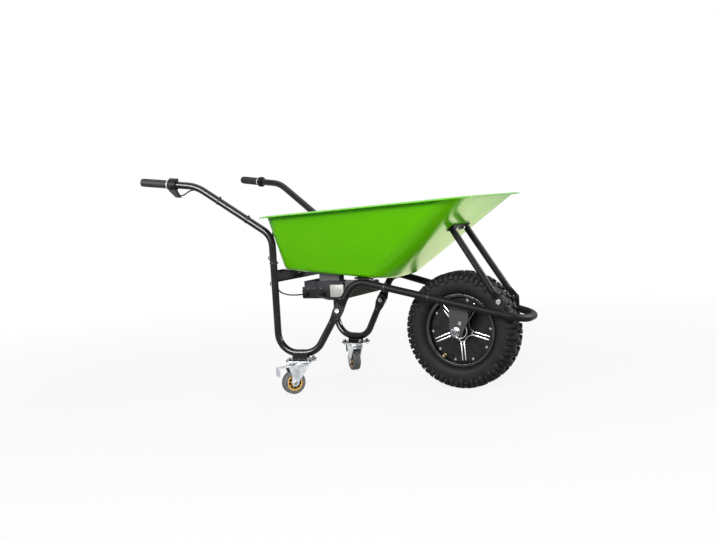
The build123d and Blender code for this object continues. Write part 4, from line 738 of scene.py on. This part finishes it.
# Hand grips: ribbed rubber sleeves over the tube ends, each with a pale plastic ring at its inner end.
# The right one twists in the throttle housing, a plastic clamp that carries the red direction rocker.
handle_end = Vector(joints["throttle_twist"]["pos_m"])
handle_way = Vector(joints["throttle_twist"]["axis"]).normalized()
ring_places = (("right", -1, 0.1015, "throttle_twist_grip"), ("left", 1, 0.0945, "frame"))
ring_radius = 0.0155
ring_high = 0.0022
ring_wide = 0.0024
ring_corners = 10
ring_steps = 48
grip_rubber = plain_finish(
    "grip_rubber", shade=(0.014, 0.014, 0.0145), light=(0.034, 0.034, 0.035), rough=(0.5, 0.65),
    patch=0.012, grain=0.0012, bump=0.00008, edge=0.0006, gloss=0.15)
ring_pale = plain_finish(
    "ring_pale", shade=(0.50, 0.50, 0.50), light=(0.62, 0.62, 0.62), rough=(0.35, 0.5),
    patch=0.006, grain=0.0008, bump=0.00003)
switch_red = plain_finish(
    "switch_red", shade=(0.50, 0.012, 0.010), light=(0.62, 0.020, 0.016), rough=(0.25, 0.35),
    patch=0.004, grain=0.0006, bump=0.00003, edge=0.0008)
dress(grip_rubber, "throttle_grip", "left_grip")
dress(plastic_black, "throttle_housing", "left_grip_collar")
dress(switch_red, "direction_switch")
for name, side, along, body in ring_places:
    end = Vector((handle_end.x, side * abs(handle_end.y), handle_end.z))
    way = Vector((handle_way.x, side * -abs(handle_way.y), handle_way.z))
    seat = end + way * along
    rise = way.cross(Vector(wheel_axis)).normalized()
    section = oval(seat + rise * ring_radius, way * ring_wide, rise * ring_high, ring_corners)
    spin_outline(section, ring_steps, centre=seat, axis=way)
    close_skin()
    ring = finish_piece(name + "_grip_ring", 40)
    ring.data.materials.append(ring_pale)
    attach(ring, body)


# Cables: round rubber-sheathed leads from the throttle and the motor to the box, tied along the tubes.
# The ties are black nylon straps, and the tails of two stand out behind the right leg as small loops.
beam_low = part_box("rear_cross_member")[0]
tail_behind = 0.0095
tail_out = 0.0125
tail_heights = (0.382, 0.472)
tail_radius = Vector((0, 0, 0.0070))
strap_wide = Vector((0, 0.0024, 0))
strap_thick = Vector((0, 0, 0.0014))
strap_corners = 8
tail_steps = 32
sheath_black = plain_finish(
    "sheath_black", shade=(0.008, 0.008, 0.008), light=(0.016, 0.016, 0.016), rough=(0.4, 0.55),
    patch=0.01, grain=0.0008, bump=0.00005, gloss=0.2)
dress(sheath_black, "throttle_cable", "motor_cable", "cable_ties")
for number, height in enumerate(tail_heights):
    middle = Vector((beam_low.x - tail_behind, beam_low.y - tail_out, height))
    section = oval(middle + tail_radius, strap_wide, strap_thick, strap_corners)
    spin_outline(section, tail_steps, centre=middle)
    close_skin()
    tail = finish_piece("tie_tail_%d" % (number + 1), 40)
    tail.data.materials.append(sheath_black)
    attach(tail, "frame")


# Floor: a wide matt grey sheet of paper that the barrow stands on and that takes its shadow.
# To the camera and in reflections it is mostly a white glow, which is full away from the barrow,
# so that no edge of the paper shows.
floor_size = 30
paper_grey = (0.45, 0.45, 0.45, 1)
glow_near = 0.88
near_distance = 1.0
far_distance = 3.0


def direct_sight(tree):
    """A number that is 1 where the camera or a reflection looks, and 0 for light that falls on things."""
    path = tree.nodes.new("ShaderNodeLightPath")
    sight = path.outputs["Is Camera Ray"]
    for ray in ("Is Glossy Ray", "Is Transmission Ray"):
        widest = tree.nodes.new("ShaderNodeMath")
        widest.operation = "MAXIMUM"
        tree.links.new(sight, widest.inputs[0])
        tree.links.new(path.outputs[ray], widest.inputs[1])
        sight = widest.outputs[0]
    return sight


stage_white = bpy.data.materials.new("stage_white")
stage_white.use_nodes = True
paper = main_shader(stage_white)
paper.inputs["Base Color"].default_value = paper_grey
paper.inputs["Roughness"].default_value = 0.9
paper.inputs["Specular IOR Level"].default_value = 0.0
tree = stage_white.node_tree
glow = add_node(tree, "ShaderNodeEmission", {"Strength": 1.0})
place = tree.nodes.new("ShaderNodeTexCoord")
distance = tree.nodes.new("ShaderNodeVectorMath")
distance.operation = "LENGTH"
fade = add_node(
    tree, "ShaderNodeMapRange", {"From Min": near_distance, "From Max": far_distance, "To Min": glow_near})
share = tree.nodes.new("ShaderNodeMath")
share.operation = "MULTIPLY"
blend = tree.nodes.new("ShaderNodeMixShader")
tree.links.new(place.outputs["Object"], distance.inputs[0])
tree.links.new(distance.outputs["Value"], fade.inputs["Value"])
tree.links.new(direct_sight(tree), share.inputs[0])
tree.links.new(fade.outputs["Result"], share.inputs[1])
tree.links.new(share.outputs[0], blend.inputs[0])
tree.links.new(paper.outputs[0], blend.inputs[1])
tree.links.new(glow.outputs[0], blend.inputs[2])
tree.links.new(blend.outputs[0], tree.nodes["Material Output"].inputs["Surface"])
bpy.ops.mesh.primitive_plane_add(size=floor_size)
floor = finish_piece("stage_floor", 35)
floor.data.materials.append(stage_white)


# Light: a white studio with four soft boxes, the key one off the right side of the barrow.
# Three bright cards show only as reflections, for the streaks on the tubes and the sheen of the tray's front.
studio_fill = 0.28
barrow_middle = (0.0, 0.0, 0.4)


def soft_box(name, place, aim, wide, tall, power):
    """A studio light that looks at a point."""
    light = bpy.data.lights.new(name, "AREA")
    light.shape = "RECTANGLE"
    light.size = wide
    light.size_y = tall
    light.energy = power
    lamp = bpy.data.objects.new(name, light)
    bpy.context.scene.collection.objects.link(lamp)
    lamp.location = place
    lamp.rotation_euler = (Vector(aim) - Vector(place)).to_track_quat("-Z", "Y").to_euler()
    return lamp


def bright_card(name, place, aim, wide, tall, level, tint=(1, 1, 1)):
    """A card that only shows in glossy surfaces, at a level where 1 is white."""
    card = soft_box(name, place, aim, wide, tall, level * math.pi * wide * tall)
    card.data.color = tint
    card.visible_camera = False
    card.visible_diffuse = False


studio = bpy.data.worlds.new("studio")
studio.use_nodes = True
bpy.context.scene.world = studio
tree = studio.node_tree
walls = tree.nodes["Background"]
walls.inputs["Color"].default_value = (1, 1, 1, 1)
brightness = add_node(tree, "ShaderNodeMapRange", {"To Min": studio_fill, "To Max": 1.0})
tree.links.new(direct_sight(tree), brightness.inputs["Value"])
tree.links.new(brightness.outputs["Result"], walls.inputs["Strength"])
key = soft_box("key_light", (1.0, -3.0, 1.8), barrow_middle, 0.7, 0.7, 112)
left = soft_box("left_light", (-0.8, 3.2, 1.8), barrow_middle, 1.5, 1.5, 55)
for lamp in (key, left):
    lamp.visible_glossy = False
soft_box("front_light", (3.4, -0.8, 1.3), barrow_middle, 2.0, 2.0, 52)
soft_box("top_light", (-0.2, 0.2, 3.4), barrow_middle, 3.0, 3.0, 45)
bright_card("tube_card", (-0.6, -3.1, 1.55), barrow_middle, 2.2, 1.2, 55)
bright_card("front_card", (2.2, 1.2, 1.6), (0.7, 0.0, 0.3), 1.0, 1.0, 70)
bright_card("floor_card", (0.1, 1.2, 0.02), (0.1, 1.2, 1.0), 1.6, 1.6, 1.45, (1, 1, 0.5))


# Camera: it stands low off the right side and looks a little back along the barrow.
# It was held slightly tilted, and the angles are those of a fit to the object.
camera_place = (1.704788, -3.06278, 0.67584)
yaw = math.radians(28.76)
pitch = math.radians(4.40)
roll = math.radians(3.36)
level_right = Vector((math.cos(yaw), math.sin(yaw), 0))
forward = Vector((-math.sin(yaw) * math.cos(pitch), math.cos(yaw) * math.cos(pitch), -math.sin(pitch)))
level_up = level_right.cross(forward)
right = level_right * math.cos(roll) - level_up * math.sin(roll)
up = level_right * math.sin(roll) + level_up * math.cos(roll)
lens = bpy.data.cameras.new("photo_camera")
lens.sensor_fit = "HORIZONTAL"
lens.sensor_width = 36
lens.lens = 49.35
camera = bpy.data.objects.new("photo_camera", lens)
bpy.context.scene.collection.objects.link(camera)
turned = Matrix((right, up, -forward)).transposed().to_4x4()
camera.matrix_world = Matrix.Translation(camera_place) @ turned
bpy.context.scene.camera = camera
bpy.context.scene.view_settings.view_transform = "Standard"
